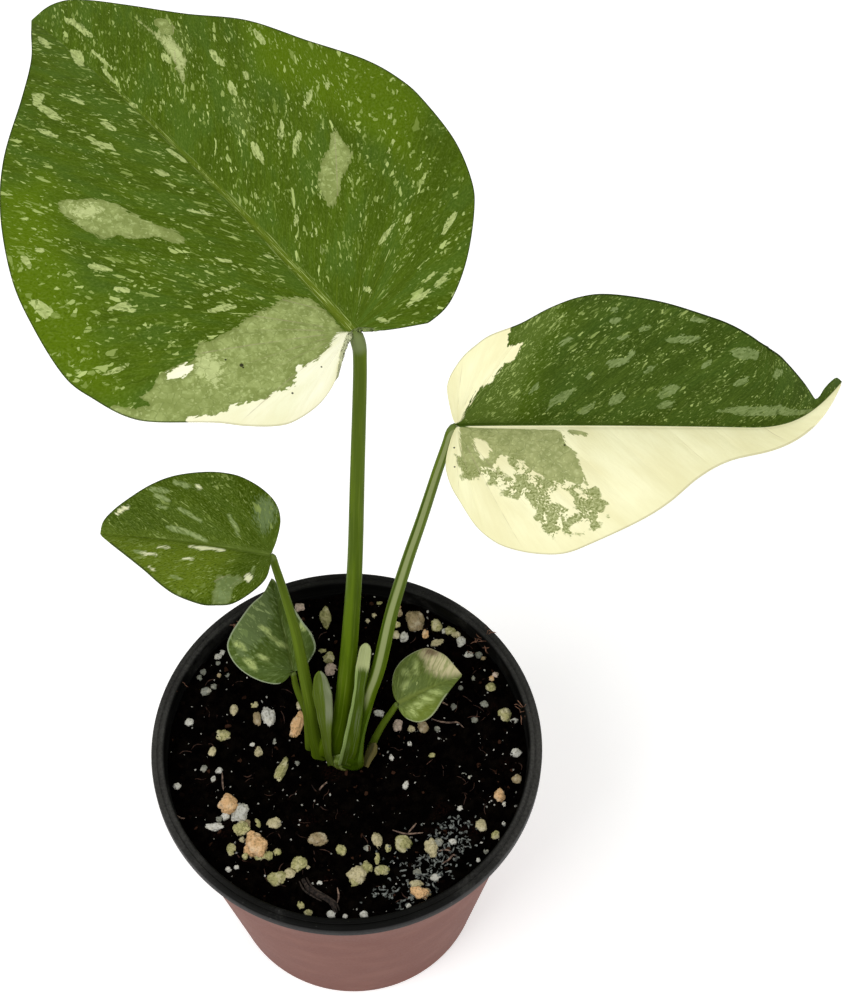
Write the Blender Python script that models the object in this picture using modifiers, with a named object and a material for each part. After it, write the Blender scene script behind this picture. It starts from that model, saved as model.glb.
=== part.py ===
"""Potted variegated monstera: five leaves on their stalks, three sheaths, a crown, soil and a nursery pot.

Sizes below are millimetres. The frame has +Z up, its origin is the middle of the pot's flat base,
and the side that faces a viewer is -Y. Every solid is built where it stands, so no object is moved.
"""

import math
import random

import bmesh
import bpy
import numpy as np
from mathutils import Vector
from mathutils.geometry import delaunay_2d_cdt

MM = 0.001
GAP = 0.3
MERGE_DISTANCE = 0.00001

# Pot: a rolled rim with a short skirt, a tapered wall and a floor raised between a foot ring and a middle pad
RIM_RADIUS = 50.0
RIM_INNER_RADIUS = 46.6
RIM_SKIRT = 3.8
RIM_ROUNDING = 0.6
GROOVE_RADIUS = 48.3
GROOVE_HALF_WIDTH = 0.3
GROOVE_DEPTH = 0.35
POT_HEIGHT = 90.0
WALL = 1.1
WALL_TOP_RADIUS = 47.6
BASE_RADIUS = 35.2
FLOOR = 1.3
FLOOR_CORNER = 1.2
FOOT_WIDTH = 2.6
FOOT_LIFT = 1.8
FOOT_BEVEL = 0.8
CENTRE_PAD_RADIUS = 9.0
DRAIN_HOLES = 8
DRAIN_RADIUS = 3.4
DRAIN_CIRCLE = 21.0
DRAIN_SIDES = 16
POT_STEPS = 64

# Soil: a plug that fills the pot, its top a net of triangles that rises towards the pot's wall
SOIL_LEVEL = 79.0
SOIL_EDGE_RISE = 5.5
SOIL_DISH_RADIUS = 12.0
SOIL_DISH_WIDTH = 32.0
SOIL_SPACING = 2.5
SOIL_EDGE_POINTS = 64
CALM_RADIUS = 12.0

# Crown and the stalks that stand beside it in holes of their own
CROWN_AT = (-1.0, 1.0)
CROWN_RADIUS = 4.2
CROWN_TOP = 83.4
CROWN_STEPS = 24
HOLE_FLOOR = 72.0
HOLE_SIDES = 16

BLADE_THICKNESS = 0.7
RIB_REACH = 2.4
VEIN_BEND = (0.3, 0.55)
STALK_POINTS = 23
SHEATH_THICKNESS = 0.6
SHEATH_GRID = (14, 6)

# Grains that stand out of the soil: x, y, radius, height
GRAINS = (
    (-22.8, -25.4, 3.4, 2.6),
    (17.4, 38.1, 2.8, 2.0),
    (-30.1, -14.3, 2.8, 2.0),
    (-13.3, 10.3, 2.7, 2.0),
    (-27.4, -16.3, 2.7, 1.9),
    (3.0, -32.9, 2.6, 1.9),
    (-21.0, 11.8, 2.4, 1.8),
    (14.4, -24.2, 2.4, 1.7),
    (-17.0, -2.6, 2.4, 1.7),
    (-17.1, -34.1, 2.4, 1.7),
    (21.7, -25.9, 2.3, 1.6),
    (-7.2, -22.4, 2.3, 1.6),
    (18.5, -38.2, 2.3, 1.6),
    (-11.8, -30.3, 2.3, 1.6),
    (40.2, 10.6, 2.1, 1.5),
    (-4.9, 25.5, 2.0, 1.4),
    (-5.5, 28.5, 1.9, 1.3),
)

# Stalks: waypoints from the foot up, and the radius at the foot, half way and the top
STALKS = {
    "petiole_large": {
        "path": (
            (-2.2, 2.6, 83.9),
            (-2.2, 2.7, 86.0),
            (-1.4, 5.5, 96.0),
            (0.0, 9.1, 108.1),
            (1.6, 14.2, 124.1),
            (3.2, 20.8, 147.1),
            (4.4, 29.0, 176.1),
            (5.4, 36.0, 200.2),
            (5.6, 38.3, 208.2),
            (5.5, 39.4, 211.6),
            (4.8, 40.3, 213.5),
        ),
        "radii": (2.5, 1.85, 1.5),
    },
    "petiole_right": {
        "path": (
            (1.3, -1.1, 83.9),
            (1.4, -1.0, 86.0),
            (3.4, 2.6, 96.0),
            (6.0, 6.8, 106.0),
            (8.6, 10.0, 115.0),
            (11.9, 16.0, 132.1),
            (15.4, 21.2, 146.1),
            (19.4, 26.4, 160.2),
            (22.9, 31.2, 173.2),
            (24.9, 34.0, 179.8),
            (25.7, 35.3, 182.6),
            (26.4, 36.1, 184.0),
        ),
        "radii": (2.1, 1.6, 1.1),
    },
    "petiole_left": {
        "path": (
            (-8.4, 0.2, 73.0),
            (-8.4, 0.2, 81.0),
            (-8.6, 2.5, 89.0),
            (-9.3, 7.3, 98.1),
            (-10.7, 12.6, 107.1),
            (-12.5, 18.8, 117.2),
            (-15.1, 24.6, 126.8),
            (-16.6, 27.7, 131.6),
            (-17.3, 29.4, 133.7),
        ),
        "radii": (1.8, 1.5, 0.95),
    },
    "petiole_low_left": {
        "path": (
            (-10.2, 4.1, 73.0),
            (-10.2, 4.1, 80.6),
            (-10.3, 6.3, 85.1),
            (-10.6, 8.9, 89.1),
            (-11.9, 11.2, 92.5),
            (-13.1, 13.4, 95.8),
            (-13.6, 15.0, 98.9),
        ),
        "radii": (1.1, 0.95, 0.75),
    },
    "petiole_small_right": {
        "path": (
            (5.6, 1.9, 73.0),
            (5.6, 1.9, 80.0),
            (6.7, 2.9, 85.0),
            (8.9, 4.8, 90.4),
            (11.3, 6.6, 94.5),
            (12.3, 7.6, 95.8),
        ),
        "radii": (1.1, 0.95, 0.75),
    },
}

# Leaves. base is where the stalk ends, heading turns left from +X, rise and droop are the midrib's slope at
# the base and what it loses by the tip, hook and turn bend the last stretch up and to the left. fold lifts
# the left and right half at the midrib, curl is their slope at span. Outlines run from the base to the tip as
# (along the midrib, away from it).
LEAVES = {
    "blade_large": {
        "base": (4.0, 41.0, 215.2),
        "heading": 130.3,
        "rise": 9.2,
        "droop": 20.0,
        "roll": 0.0,
        "fold": (14.0, 14.0),
        "curl": (-12.0, -12.0),
        "span": 54.0,
        "length": 121.9,
        "hook": (-6.0, 0.0, 0.85),
        "vein": 0.62,
        "rib": 1.9,
        "grid": (30, 9),
        "left": (
            (-0.2, 0.5), (-1.5, 3.1), (-4.4, 7.3), (-8.1, 11.9), (-10.4, 18.2), (-10.5, 24.9), (-8.9, 29.0),
            (-5.0, 34.0), (-0.5, 38.5), (7.6, 48.2), (12.8, 52.2), (20.0, 54.8), (28.4, 56.5), (41.6, 54.7),
            (55.2, 50.9), (70.8, 42.8), (83.0, 33.3), (96.0, 19.5), (106.6, 9.7), (116.4, 3.4), (121.9, 0.0),
        ),
        "right": (
            (-0.2, 0.5), (-1.5, 2.4), (-4.5, 5.6), (-8.4, 12.3), (-9.3, 14.9), (-8.3, 21.2), (-2.8, 30.4),
            (6.1, 40.4), (12.6, 45.3), (23.5, 49.7), (36.6, 51.6), (44.1, 51.4), (53.5, 48.7), (66.6, 41.4),
            (80.4, 34.7), (92.0, 25.4), (105.2, 17.3), (115.8, 11.3), (119.4, 8.6), (121.6, 5.0), (121.9, 0.0),
        ),
    },
    "blade_right": {
        "base": (27.2, 35.6, 185.2),
        "heading": -4.0,
        "rise": 7.5,
        "droop": 5.0,
        "roll": 34.9,
        "fold": (42.0, 42.0),
        "curl": (5.0, 5.0),
        "span": 34.0,
        "length": 89.8,
        "hook": (32.0, 45.0, 0.72),
        "vein": 0.75,
        "rib": 1.6,
        "grid": (28, 8),
        "left": (
            (-0.2, 0.4), (-0.8, 2.8), (-1.3, 10.0), (-0.7, 13.0), (0.8, 15.8), (3.1, 18.9), (5.7, 21.2),
            (9.1, 23.6), (15.7, 26.2), (22.2, 29.7), (28.7, 32.1), (35.1, 32.7), (44.7, 31.5), (54.3, 29.0),
            (60.7, 26.6), (68.0, 23.6), (76.5, 21.8), (82.0, 18.6), (84.8, 13.0), (84.2, 8.4), (84.8, 5.0),
            (87.4, 2.6), (89.8, 0.0),
        ),
        "right": (
            (-0.2, 0.4), (-1.2, 4.0), (-1.9, 10.4), (-0.6, 15.4), (1.8, 19.6), (5.2, 24.8), (8.7, 28.0),
            (12.6, 30.0), (18.8, 31.3), (25.5, 31.2), (32.2, 28.6), (42.1, 23.7), (48.6, 19.3), (55.1, 13.2),
            (61.7, 9.0), (70.9, 6.2), (81.0, 2.9), (89.8, 0.0),
        ),
    },
    "blade_left": {
        "base": (-18.0, 30.0, 135.3),
        "heading": 171.0,
        "rise": 8.0,
        "droop": 20.0,
        "roll": -0.9,
        "fold": (22.0, 22.0),
        "curl": (2.0, 2.0),
        "span": 18.0,
        "length": 43.2,
        "hook": (0.0, 0.0, 0.8),
        "vein": 0.7,
        "rib": 1.3,
        "grid": (20, 6),
        "left": (
            (-0.2, 0.3), (-0.6, 3.6), (-0.1, 8.5), (2.7, 13.5), (6.2, 17.2), (9.8, 18.4), (13.5, 18.8),
            (19.6, 17.3), (24.0, 14.8), (28.7, 11.2), (33.6, 7.6), (38.9, 3.6), (43.2, 0.0),
        ),
        "right": (
            (-0.2, 0.3), (-0.8, 4.0), (-0.7, 9.0), (1.2, 13.0), (4.7, 15.9), (9.0, 17.9), (13.0, 18.8),
            (18.9, 18.5), (26.4, 16.5), (31.8, 13.6), (37.1, 9.3), (40.8, 5.8), (42.8, 3.0), (43.2, 0.0),
        ),
    },
    "blade_low_left": {
        "base": (-13.7, 15.7, 100.2),
        "heading": 104.0,
        "rise": 18.9,
        "droop": 12.0,
        "roll": 0.0,
        "fold": (22.0, 55.0),
        "curl": (0.0, 30.0),
        "span": 14.0,
        "length": 25.3,
        "hook": (0.0, 0.0, 0.8),
        "vein": 0.7,
        "rib": 1.1,
        "grid": (15, 5),
        "left": (
            (-0.2, 0.3), (-2.0, 2.5), (-2.6, 5.0), (-1.1, 8.9), (1.8, 12.5), (5.3, 14.8), (9.1, 15.5),
            (12.0, 14.0), (15.2, 11.0), (18.7, 7.2), (21.4, 3.2), (25.3, 0.0),
        ),
        "right": (
            (-0.2, 0.3), (-0.4, 3.4), (1.0, 6.4), (3.4, 9.2), (7.0, 9.0), (10.6, 7.1), (15.3, 5.0), (21.8, 1.7),
            (25.3, 0.0),
        ),
    },
    "blade_small_right": {
        "base": (13.1, 8.1, 97.1),
        "heading": 25.0,
        "rise": 12.4,
        "droop": 20.0,
        "roll": 8.8,
        "fold": (20.0, 20.0),
        "curl": (-10.0, -10.0),
        "span": 9.0,
        "length": 18.2,
        "hook": (0.0, 0.0, 0.8),
        "vein": 0.7,
        "rib": 1.1,
        "grid": (15, 5),
        "left": (
            (-0.1, 0.3), (-0.1, 2.2), (0.6, 4.4), (2.1, 7.0), (4.3, 8.9), (7.0, 10.0), (10.4, 10.4),
            (12.9, 9.9), (14.6, 8.1), (16.1, 6.0), (17.2, 2.7), (18.2, 0.0),
        ),
        "right": (
            (-0.1, 0.3), (-0.5, 2.2), (0.2, 5.0), (2.3, 7.2), (5.0, 7.6), (7.7, 6.6), (10.5, 4.7), (13.3, 2.9),
            (16.1, 1.2), (18.2, 0.0),
        ),
    },
}

# Sheaths: thin shells that stand beside the stalks, as a centre line, half widths and how far the edges
# come forward
SHEATHS = {
    "sheath_left": {
        "path": (
            (-5.6, -2.5, 80.0),
            (-5.6, -1.1, 87.0),
            (-5.3, 1.6, 94.0),
            (-5.4, 4.5, 101.0),
            (-5.9, 7.0, 108.0),
            (-6.2, 8.7, 113.6),
        ),
        "half_widths": (1.0, 1.15, 1.3, 2.1, 2.4, 1.0),
        "cup": 0.35,
    },
    "sheath_centre": {
        "path": (
            (-2.0, -2.7, 84.5),
            (-0.7, -0.8, 91.0),
            (0.9, 1.3, 98.0),
            (2.6, 3.7, 105.0),
            (3.9, 6.9, 112.0),
            (4.9, 10.0, 118.6),
            (5.5, 11.7, 123.0),
        ),
        "half_widths": (0.8, 0.9, 0.9, 0.9, 1.1, 1.4, 0.7),
        "cup": 0.25,
    },
    "sheath_right": {
        "path": (
            (4.5, -1.8, 79.8),
            (5.2, -1.0, 82.6),
            (6.2, -0.1, 85.4),
            (7.0, 0.9, 88.2),
        ),
        "half_widths": (0.8, 1.1, 1.3, 0.8),
        "cup": 0.3,
    },
}

COLOURS = {
    "terracotta": (0.42, 0.23, 0.19, 0.6),
    "soil": (0.03, 0.025, 0.02, 0.95),
    "crown": (0.45, 0.55, 0.28, 0.5),
    "stalk": (0.17, 0.32, 0.05, 0.45),
    "leaf": (0.1, 0.22, 0.03, 0.4),
    "sheath": (0.5, 0.6, 0.35, 0.5),
}


def new_collection(name):
    collection = bpy.data.collections.new(name)
    bpy.context.scene.collection.children.link(collection)
    return collection


def new_material(name):
    red, green, blue, roughness = COLOURS[name]
    material = bpy.data.materials.new(name)
    material.use_nodes = True
    shader = material.node_tree.nodes["Principled BSDF"]
    shader.inputs["Base Color"].default_value = (red, green, blue, 1.0)
    shader.inputs["Roughness"].default_value = roughness
    material.diffuse_color = (red, green, blue, 1.0)
    return material


def add_object(name, data, collection, material=None):
    item = bpy.data.objects.new(name, data)
    collection.objects.link(item)
    if material is not None:
        data.materials.append(material)
    return item


def mesh_from(name, vertices, faces):
    mesh = bpy.data.meshes.new(name)
    mesh.from_pydata([tuple(c * MM for c in v) for v in vertices], [], faces)
    mesh.update()
    return mesh


def smooth_step(value):
    value = min(1.0, max(0.0, value))
    return value * value * (3.0 - 2.0 * value)


def rounded_line(points, count):
    """A smooth line through the points, as count + 1 evenly spaced places."""
    ends = [np.array(p, float) for p in points]
    ends = [2 * ends[0] - ends[1]] + ends + [2 * ends[-1] - ends[-2]]
    dense = []
    for before, start, stop, after in zip(ends, ends[1:], ends[2:], ends[3:]):
        for step in range(24):
            t = step / 24.0
            dense.append(
                0.5 * (2 * start + (stop - before) * t + (2 * before - 5 * start + 4 * stop - after) * t**2
                       + (3 * start - before - 3 * stop + after) * t**3)
            )
    dense.append(ends[-2])
    dense = np.array(dense)
    run = np.concatenate([[0.0], np.cumsum(np.linalg.norm(np.diff(dense, axis=0), axis=1))])
    at = np.linspace(0.0, run[-1], count + 1)
    return np.stack([np.interp(at, run, dense[:, k]) for k in range(dense.shape[1])], axis=1)


class LeafSurface:
    """The curved sheet of one leaf: a bent midrib with two folded, curling halves."""

    def __init__(self, spec):
        self.spec = spec
        self.run = np.linspace(0.0, spec["length"] * 1.06, 240)
        part = self.run / spec["length"]
        hook, turn, start = spec["hook"]
        late = np.clip((part - start) / (1.0 - start), 0.0, 1.0)
        late = late * late * (3.0 - 2.0 * late)
        slope = np.radians(spec["rise"] - spec["droop"] * part + hook * late)
        heading = np.radians(spec["heading"] + turn * late)
        self.along = np.stack(
            [np.cos(slope) * np.cos(heading), np.cos(slope) * np.sin(heading), np.sin(slope)], axis=1
        )
        steps = (self.along[1:] + self.along[:-1]) / 2.0 * np.diff(self.run)[:, None]
        self.line = np.array(spec["base"]) + np.vstack([np.zeros(3), np.cumsum(steps, axis=0)])

    def place(self, along, away):
        """World point of a place in the flat leaf; away is positive on the left half."""
        spec = self.spec
        held = min(max(along, 0.0), self.run[-1])
        point = np.array([np.interp(held, self.run, self.line[:, k]) for k in range(3)])
        ahead = np.array([np.interp(held, self.run, self.along[:, k]) for k in range(3)])
        ahead /= np.linalg.norm(ahead)
        point = point + ahead * (along - held)
        side = np.cross((0.0, 0.0, 1.0), ahead)
        side /= np.linalg.norm(side)
        normal = np.cross(ahead, side)
        roll = math.radians(spec["roll"])
        side, normal = (
            side * math.cos(roll) + normal * math.sin(roll),
            normal * math.cos(roll) - side * math.sin(roll),
        )
        half = 0 if away >= 0 else 1
        reach = abs(away)
        fold = math.radians(spec["fold"][half])
        bend = (math.radians(spec["curl"][half]) - fold) / spec["span"]
        if abs(bend) < 1e-6:
            out, up = reach * math.cos(fold), reach * math.sin(fold)
        else:
            end = fold + bend * reach
            out = (math.sin(end) - math.sin(fold)) / bend
            up = (math.cos(fold) - math.cos(end)) / bend
        return point + side * math.copysign(out, away) + normal * up

    def vein_start(self, edge):
        """How far along the midrib the vein that ends at this edge point leaves it."""
        return max(0.0, edge[0] - self.spec["vein"] * edge[1])

    def vein_edges(self, rows, fan):
        """Where the veins end on the left and right margin: fan of them leave the base, the rest pair up."""
        lines = [rounded_line(self.spec[half], 500) for half in ("left", "right")]
        starts = [np.maximum.accumulate([self.vein_start(edge) for edge in line]) for line in lines]
        turns = [int(np.argmax(start > 1e-6)) - 1 for start in starts]
        part = np.linspace(0.0, 1.0, rows - fan + 1)
        paired = np.mean(
            [np.interp(turn + part * (500 - turn), range(501), start) for start, turn in zip(starts, turns)],
            axis=0,
        )
        halves = []
        for line, start, turn in zip(lines, starts, turns):
            at = list(np.linspace(0.0, turn, fan + 1))
            at += [float(np.interp(value, start[turn:], range(turn, 501))) for value in paired[1:]]
            halves.append([[np.interp(i, range(501), line[:, k]) for k in (0, 1)] for i in at])
        return halves, [0.0] * fan + [float(value) for value in paired]

    def vein_point(self, start, edge, part):
        """A place in the flat leaf, part of the way along the vein from start to the edge point."""
        along, away = edge
        bend = (start + VEIN_BEND[0] * (along - start), VEIN_BEND[1] * away)
        rest = 1.0 - part
        return (
            rest * rest * start + 2 * rest * part * bend[0] + part * part * along,
            2 * rest * part * bend[1] + part * part * away,
        )


def build_blade(name, spec, collection, material):
    """One leaf: a sheet of rows that follow the veins, thickened downwards and most along the midrib."""
    surface = LeafSurface(spec)
    rows, columns = spec["grid"]
    halves, starts = surface.vein_edges(rows, rows // 3)
    vertices = []
    faces = []
    rib = []
    for side, edges in zip((1.0, -1.0), halves):
        first = len(vertices)
        for start, edge in zip(starts, edges):
            for column in range(columns + 1):
                along, away = surface.vein_point(start, edge, column / columns)
                vertices.append(surface.place(along, side * max(away, 0.0)))
                left_over = min(1.0, max(0.0, 1.0 - along / spec["length"]))
                fade = max(0.0, 1.0 - away / RIB_REACH) * left_over**0.7
                rib.append(BLADE_THICKNESS + (spec["rib"] - BLADE_THICKNESS) * fade)
        for row in range(rows):
            for column in range(columns):
                a = first + row * (columns + 1) + column
                b = a + columns + 1
                ring = (a, a + 1, b + 1, b)
                faces.append(ring if side < 0 else ring[::-1])
    mesh = mesh_from(name, vertices, faces)
    item = add_object(name, mesh, collection, material)
    group = item.vertex_groups.new(name="rib")
    for index, thickness in enumerate(rib):
        group.add([index], thickness / spec["rib"], "REPLACE")
    sheet = bmesh.new()
    sheet.from_mesh(mesh)
    bmesh.ops.remove_doubles(sheet, verts=sheet.verts, dist=0.02 * MM)
    bmesh.ops.triangulate(sheet, faces=sheet.faces)
    sheet.to_mesh(mesh)
    sheet.free()
    solid = item.modifiers.new("thickness", "SOLIDIFY")
    solid.thickness = spec["rib"] * MM
    solid.offset = -1.0
    solid.vertex_group = "rib"
    return item


def build_stalk(name, spec, collection, material):
    """A round stalk that thins towards the leaf."""
    line = rounded_line(spec["path"], STALK_POINTS - 1)
    curve = bpy.data.curves.new(name, "CURVE")
    curve.dimensions = "3D"
    curve.resolution_u = 1
    curve.render_resolution_u = 0
    curve.bevel_depth = MM
    curve.bevel_resolution = 3
    curve.use_fill_caps = True
    spline = curve.splines.new("POLY")
    spline.points.add(len(line) - 1)
    foot, middle, top = spec["radii"]
    for index, (point, place) in enumerate(zip(spline.points, line)):
        part = index / (len(line) - 1)
        radius = foot + (middle - foot) * 2 * part if part < 0.5 else middle + (top - middle) * (2 * part - 1)
        point.co = (*(c * MM for c in place), 1.0)
        point.radius = radius
    return add_object(name, curve, collection, material)


def build_sheath(name, spec, collection, material):
    """A papery leaf base: a narrow strip whose edges come forward, thickened to the back."""
    rows, columns = SHEATH_GRID
    line = rounded_line(spec["path"], rows)
    widths = np.interp(
        np.linspace(0, 1, rows + 1), np.linspace(0, 1, len(spec["half_widths"])), spec["half_widths"]
    )
    vertices = []
    for row, (place, width) in enumerate(zip(line, widths)):
        ahead = line[min(row + 1, rows)] - line[max(row - 1, 0)]
        ahead /= np.linalg.norm(ahead)
        side = np.array((1.0, 0.0, 0.0)) - ahead * ahead[0]
        side /= np.linalg.norm(side)
        front = np.cross(side, ahead)
        for column in range(columns + 1):
            across = 2.0 * column / columns - 1.0
            vertices.append(place + side * across * width + front * spec["cup"] * width * across**2)
    faces = []
    for row in range(rows):
        for column in range(columns):
            a = row * (columns + 1) + column
            faces.append((a, a + 1, a + columns + 2, a + columns + 1))
    mesh = mesh_from(name, vertices, faces)
    item = add_object(name, mesh, collection, material)
    sheet = bmesh.new()
    sheet.from_mesh(mesh)
    bmesh.ops.triangulate(sheet, faces=sheet.faces)
    sheet.to_mesh(mesh)
    sheet.free()
    solid = item.modifiers.new("thickness", "SOLIDIFY")
    solid.thickness = SHEATH_THICKNESS * MM
    solid.offset = -1.0
    return item


def screw(name, profile, centre, collection, material, steps):
    """A body of revolution about centre from (radius, height) points that start and end on the axis."""
    points = [(radius, 0.0, height) for radius, height in profile]
    mesh = mesh_from(name, points, [])
    mesh.edges.add(len(points) - 1)
    for index, edge in enumerate(mesh.edges):
        edge.vertices = (index, index + 1)
    mesh.update()
    item = add_object(name, mesh, collection, material)
    turn = item.modifiers.new("turn", "SCREW")
    turn.axis = "Z"
    turn.steps = steps
    turn.render_steps = steps
    turn.use_merge_vertices = True
    turn.merge_threshold = MERGE_DISTANCE
    item.location = (centre[0] * MM, centre[1] * MM, 0.0)
    return item


def cylinder(name, centre, radius, low, high, sides, collection):
    mesh = bpy.data.meshes.new(name)
    shape = bmesh.new()
    bmesh.ops.create_cone(
        shape,
        cap_ends=True,
        segments=sides,
        radius1=radius * MM,
        radius2=radius * MM,
        depth=(high - low) * MM,
    )
    shape.to_mesh(mesh)
    shape.free()
    item = add_object(name, mesh, collection)
    item.location = (centre[0] * MM, centre[1] * MM, (low + high) / 2 * MM)
    item.display_type = "WIRE"
    item.hide_render = True
    return item


def cut(item, cutter):
    difference = item.modifiers.new(cutter.name, "BOOLEAN")
    difference.operation = "DIFFERENCE"
    difference.solver = "EXACT"
    difference.object = cutter


def inner_wall_radius(height):
    part = (height - FLOOR) / (POT_HEIGHT - RIM_SKIRT - FLOOR)
    return BASE_RADIUS - WALL + (WALL_TOP_RADIUS - BASE_RADIUS) * part


def build_pot(collection, cutters, material):
    """The turned pot, from the floor up its inside, over the rim, down its outside and in under the foot."""
    floor_top = FOOT_LIFT + FLOOR
    skirt_low = POT_HEIGHT - RIM_SKIRT
    foot_inner = BASE_RADIUS - FOOT_WIDTH
    profile = [
        (0.0, floor_top),
        (inner_wall_radius(floor_top) - FLOOR_CORNER, floor_top),
        (inner_wall_radius(floor_top + FLOOR_CORNER), floor_top + FLOOR_CORNER),
        (inner_wall_radius(skirt_low - 1.0), skirt_low - 1.0),
        (RIM_INNER_RADIUS, skirt_low + RIM_ROUNDING),
        (RIM_INNER_RADIUS, POT_HEIGHT - RIM_ROUNDING),
        (RIM_INNER_RADIUS + RIM_ROUNDING, POT_HEIGHT),
        (GROOVE_RADIUS - GROOVE_HALF_WIDTH, POT_HEIGHT),
        (GROOVE_RADIUS, POT_HEIGHT - GROOVE_DEPTH),
        (GROOVE_RADIUS + GROOVE_HALF_WIDTH, POT_HEIGHT),
        (RIM_RADIUS - RIM_ROUNDING, POT_HEIGHT),
        (RIM_RADIUS, POT_HEIGHT - RIM_ROUNDING),
        (RIM_RADIUS, skirt_low + RIM_ROUNDING / 2),
        (RIM_RADIUS - RIM_ROUNDING / 2, skirt_low),
        (WALL_TOP_RADIUS + RIM_ROUNDING / 2, skirt_low),
        (WALL_TOP_RADIUS, skirt_low - RIM_ROUNDING / 2),
        (BASE_RADIUS, FOOT_BEVEL),
        (BASE_RADIUS - FOOT_BEVEL, 0.0),
        (foot_inner, 0.0),
        (foot_inner - FOOT_BEVEL, FOOT_LIFT),
        (CENTRE_PAD_RADIUS + FOOT_BEVEL, FOOT_LIFT),
        (CENTRE_PAD_RADIUS, 0.0),
        (0.0, 0.0),
    ]
    pot = screw("pot", profile, (0.0, 0.0), collection, material, POT_STEPS)
    for index in range(DRAIN_HOLES):
        angle = 2 * math.pi * (index + 0.5) / DRAIN_HOLES
        centre = (DRAIN_CIRCLE * math.cos(angle), DRAIN_CIRCLE * math.sin(angle))
        hole = cylinder(
            "drain_%d" % index, centre, DRAIN_RADIUS, FOOT_LIFT - 1.0, floor_top + 1.0, DRAIN_SIDES, cutters
        )
        cut(pot, hole)
    return pot


def soil_height(x, y):
    """The soil's surface: a shallow dish, calm round the stems, with the grains standing out of it."""
    reach = math.hypot(x - CROWN_AT[0], y - CROWN_AT[1])
    ripple = 0.5 * math.sin(0.31 * x + 1.1) * math.cos(0.27 * y) + 0.3 * math.sin(0.83 * x - 0.6 * y)
    height = SOIL_LEVEL + ripple * smooth_step((reach - CALM_RADIUS) / 8.0)
    height += SOIL_EDGE_RISE * smooth_step((math.hypot(x, y) - SOIL_DISH_RADIUS) / SOIL_DISH_WIDTH)
    grain = 0.0
    for grain_x, grain_y, radius, tall in GRAINS:
        away = math.hypot(x - grain_x, y - grain_y) / radius
        if away < 1.0:
            grain = max(grain, tall * math.sqrt(1.0 - away * away))
    return height + grain


def build_soil(collection, cutters, material):
    """The soil plug: an uneven top, plain sides, and a hole for each thing that stands in it."""
    edge_height = SOIL_LEVEL + SOIL_EDGE_RISE
    edge_radius = inner_wall_radius(edge_height) - GAP - 0.2
    seeds = random.Random(5)
    flat = []
    for index in range(SOIL_EDGE_POINTS):
        angle = 2 * math.pi * index / SOIL_EDGE_POINTS
        flat.append((edge_radius * math.cos(angle), edge_radius * math.sin(angle)))
    row_step = SOIL_SPACING * math.sqrt(3) / 2
    rows = int(edge_radius / row_step) + 1
    for row in range(-rows, rows + 1):
        for column in range(-rows - 2, rows + 3):
            x = (column + 0.5 * (row % 2)) * SOIL_SPACING + seeds.uniform(-0.3, 0.3)
            y = row * row_step + seeds.uniform(-0.3, 0.3)
            if math.hypot(x, y) < edge_radius - 0.8 * SOIL_SPACING:
                flat.append((x, y))
    made = delaunay_2d_cdt([Vector(p) for p in flat], [], [], 0, 1e-5)
    vertices = [(p.x, p.y, soil_height(p.x, p.y)) for p in made[0]]
    faces = [tuple(f) for f in made[2]]
    rim = sorted(
        (i for i, v in enumerate(vertices) if math.hypot(v[0], v[1]) > edge_radius - 0.01),
        key=lambda i: math.atan2(vertices[i][1], vertices[i][0]),
    )
    for index in rim:
        x, y, _ = vertices[index]
        vertices[index] = (x, y, edge_height)
    low = FOOT_LIFT + FLOOR + GAP
    foot_radius = inner_wall_radius(low) - FLOOR_CORNER - GAP - 0.2
    under = []
    for index in rim:
        angle = math.atan2(vertices[index][1], vertices[index][0])
        under.append(len(vertices))
        vertices.append((foot_radius * math.cos(angle), foot_radius * math.sin(angle), low))
    for index in range(len(rim)):
        after = (index + 1) % len(rim)
        faces.append((rim[index], under[index], under[after], rim[after]))
    faces.append(tuple(reversed(under)))
    mesh = mesh_from("soil", vertices, faces)
    fix = bmesh.new()
    fix.from_mesh(mesh)
    bmesh.ops.triangulate(fix, faces=fix.faces)
    bmesh.ops.recalc_face_normals(fix, faces=fix.faces)
    fix.to_mesh(mesh)
    fix.free()
    soil = add_object("soil", mesh, collection, material)
    holes = [("hole_crown", CROWN_AT, CROWN_RADIUS + GAP, CROWN_STEPS)]
    for name, spec in STALKS.items():
        foot = spec["path"][0]
        if foot[2] < SOIL_LEVEL:
            holes.append(("hole_" + name, foot[:2], spec["radii"][0] + GAP, HOLE_SIDES))
    for name, centre, radius, sides in holes:
        cut(soil, cylinder(name, centre, radius, HOLE_FLOOR, POT_HEIGHT, sides, cutters))
    return soil


def build_crown(collection, material):
    """The short stem at the soil that the two tall stalks grow from."""
    profile = [
        (0.0, CROWN_TOP),
        (CROWN_RADIUS - 1.4, CROWN_TOP),
        (CROWN_RADIUS - 0.4, CROWN_TOP - 0.6),
        (CROWN_RADIUS, CROWN_TOP - 2.0),
        (CROWN_RADIUS, HOLE_FLOOR + 1.8),
        (CROWN_RADIUS - 1.4, HOLE_FLOOR + GAP),
        (0.0, HOLE_FLOOR + GAP),
    ]
    return screw("crown", profile, CROWN_AT, collection, material, CROWN_STEPS)


def main():
    for item in list(bpy.data.objects):
        bpy.data.objects.remove(item, do_unlink=True)
    collection = new_collection("potted_monstera")
    cutters = new_collection("cutters")
    cutters.hide_render = True
    materials = {name: new_material(name) for name in COLOURS}
    build_pot(collection, cutters, materials["terracotta"])
    build_soil(collection, cutters, materials["soil"])
    build_crown(collection, materials["crown"])
    for name, spec in STALKS.items():
        build_stalk(name, spec, collection, materials["stalk"])
    for name, spec in LEAVES.items():
        build_blade(name, spec, collection, materials["leaf"])
    for name, spec in SHEATHS.items():
        build_sheath(name, spec, collection, materials["sheath"])


main()
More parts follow.
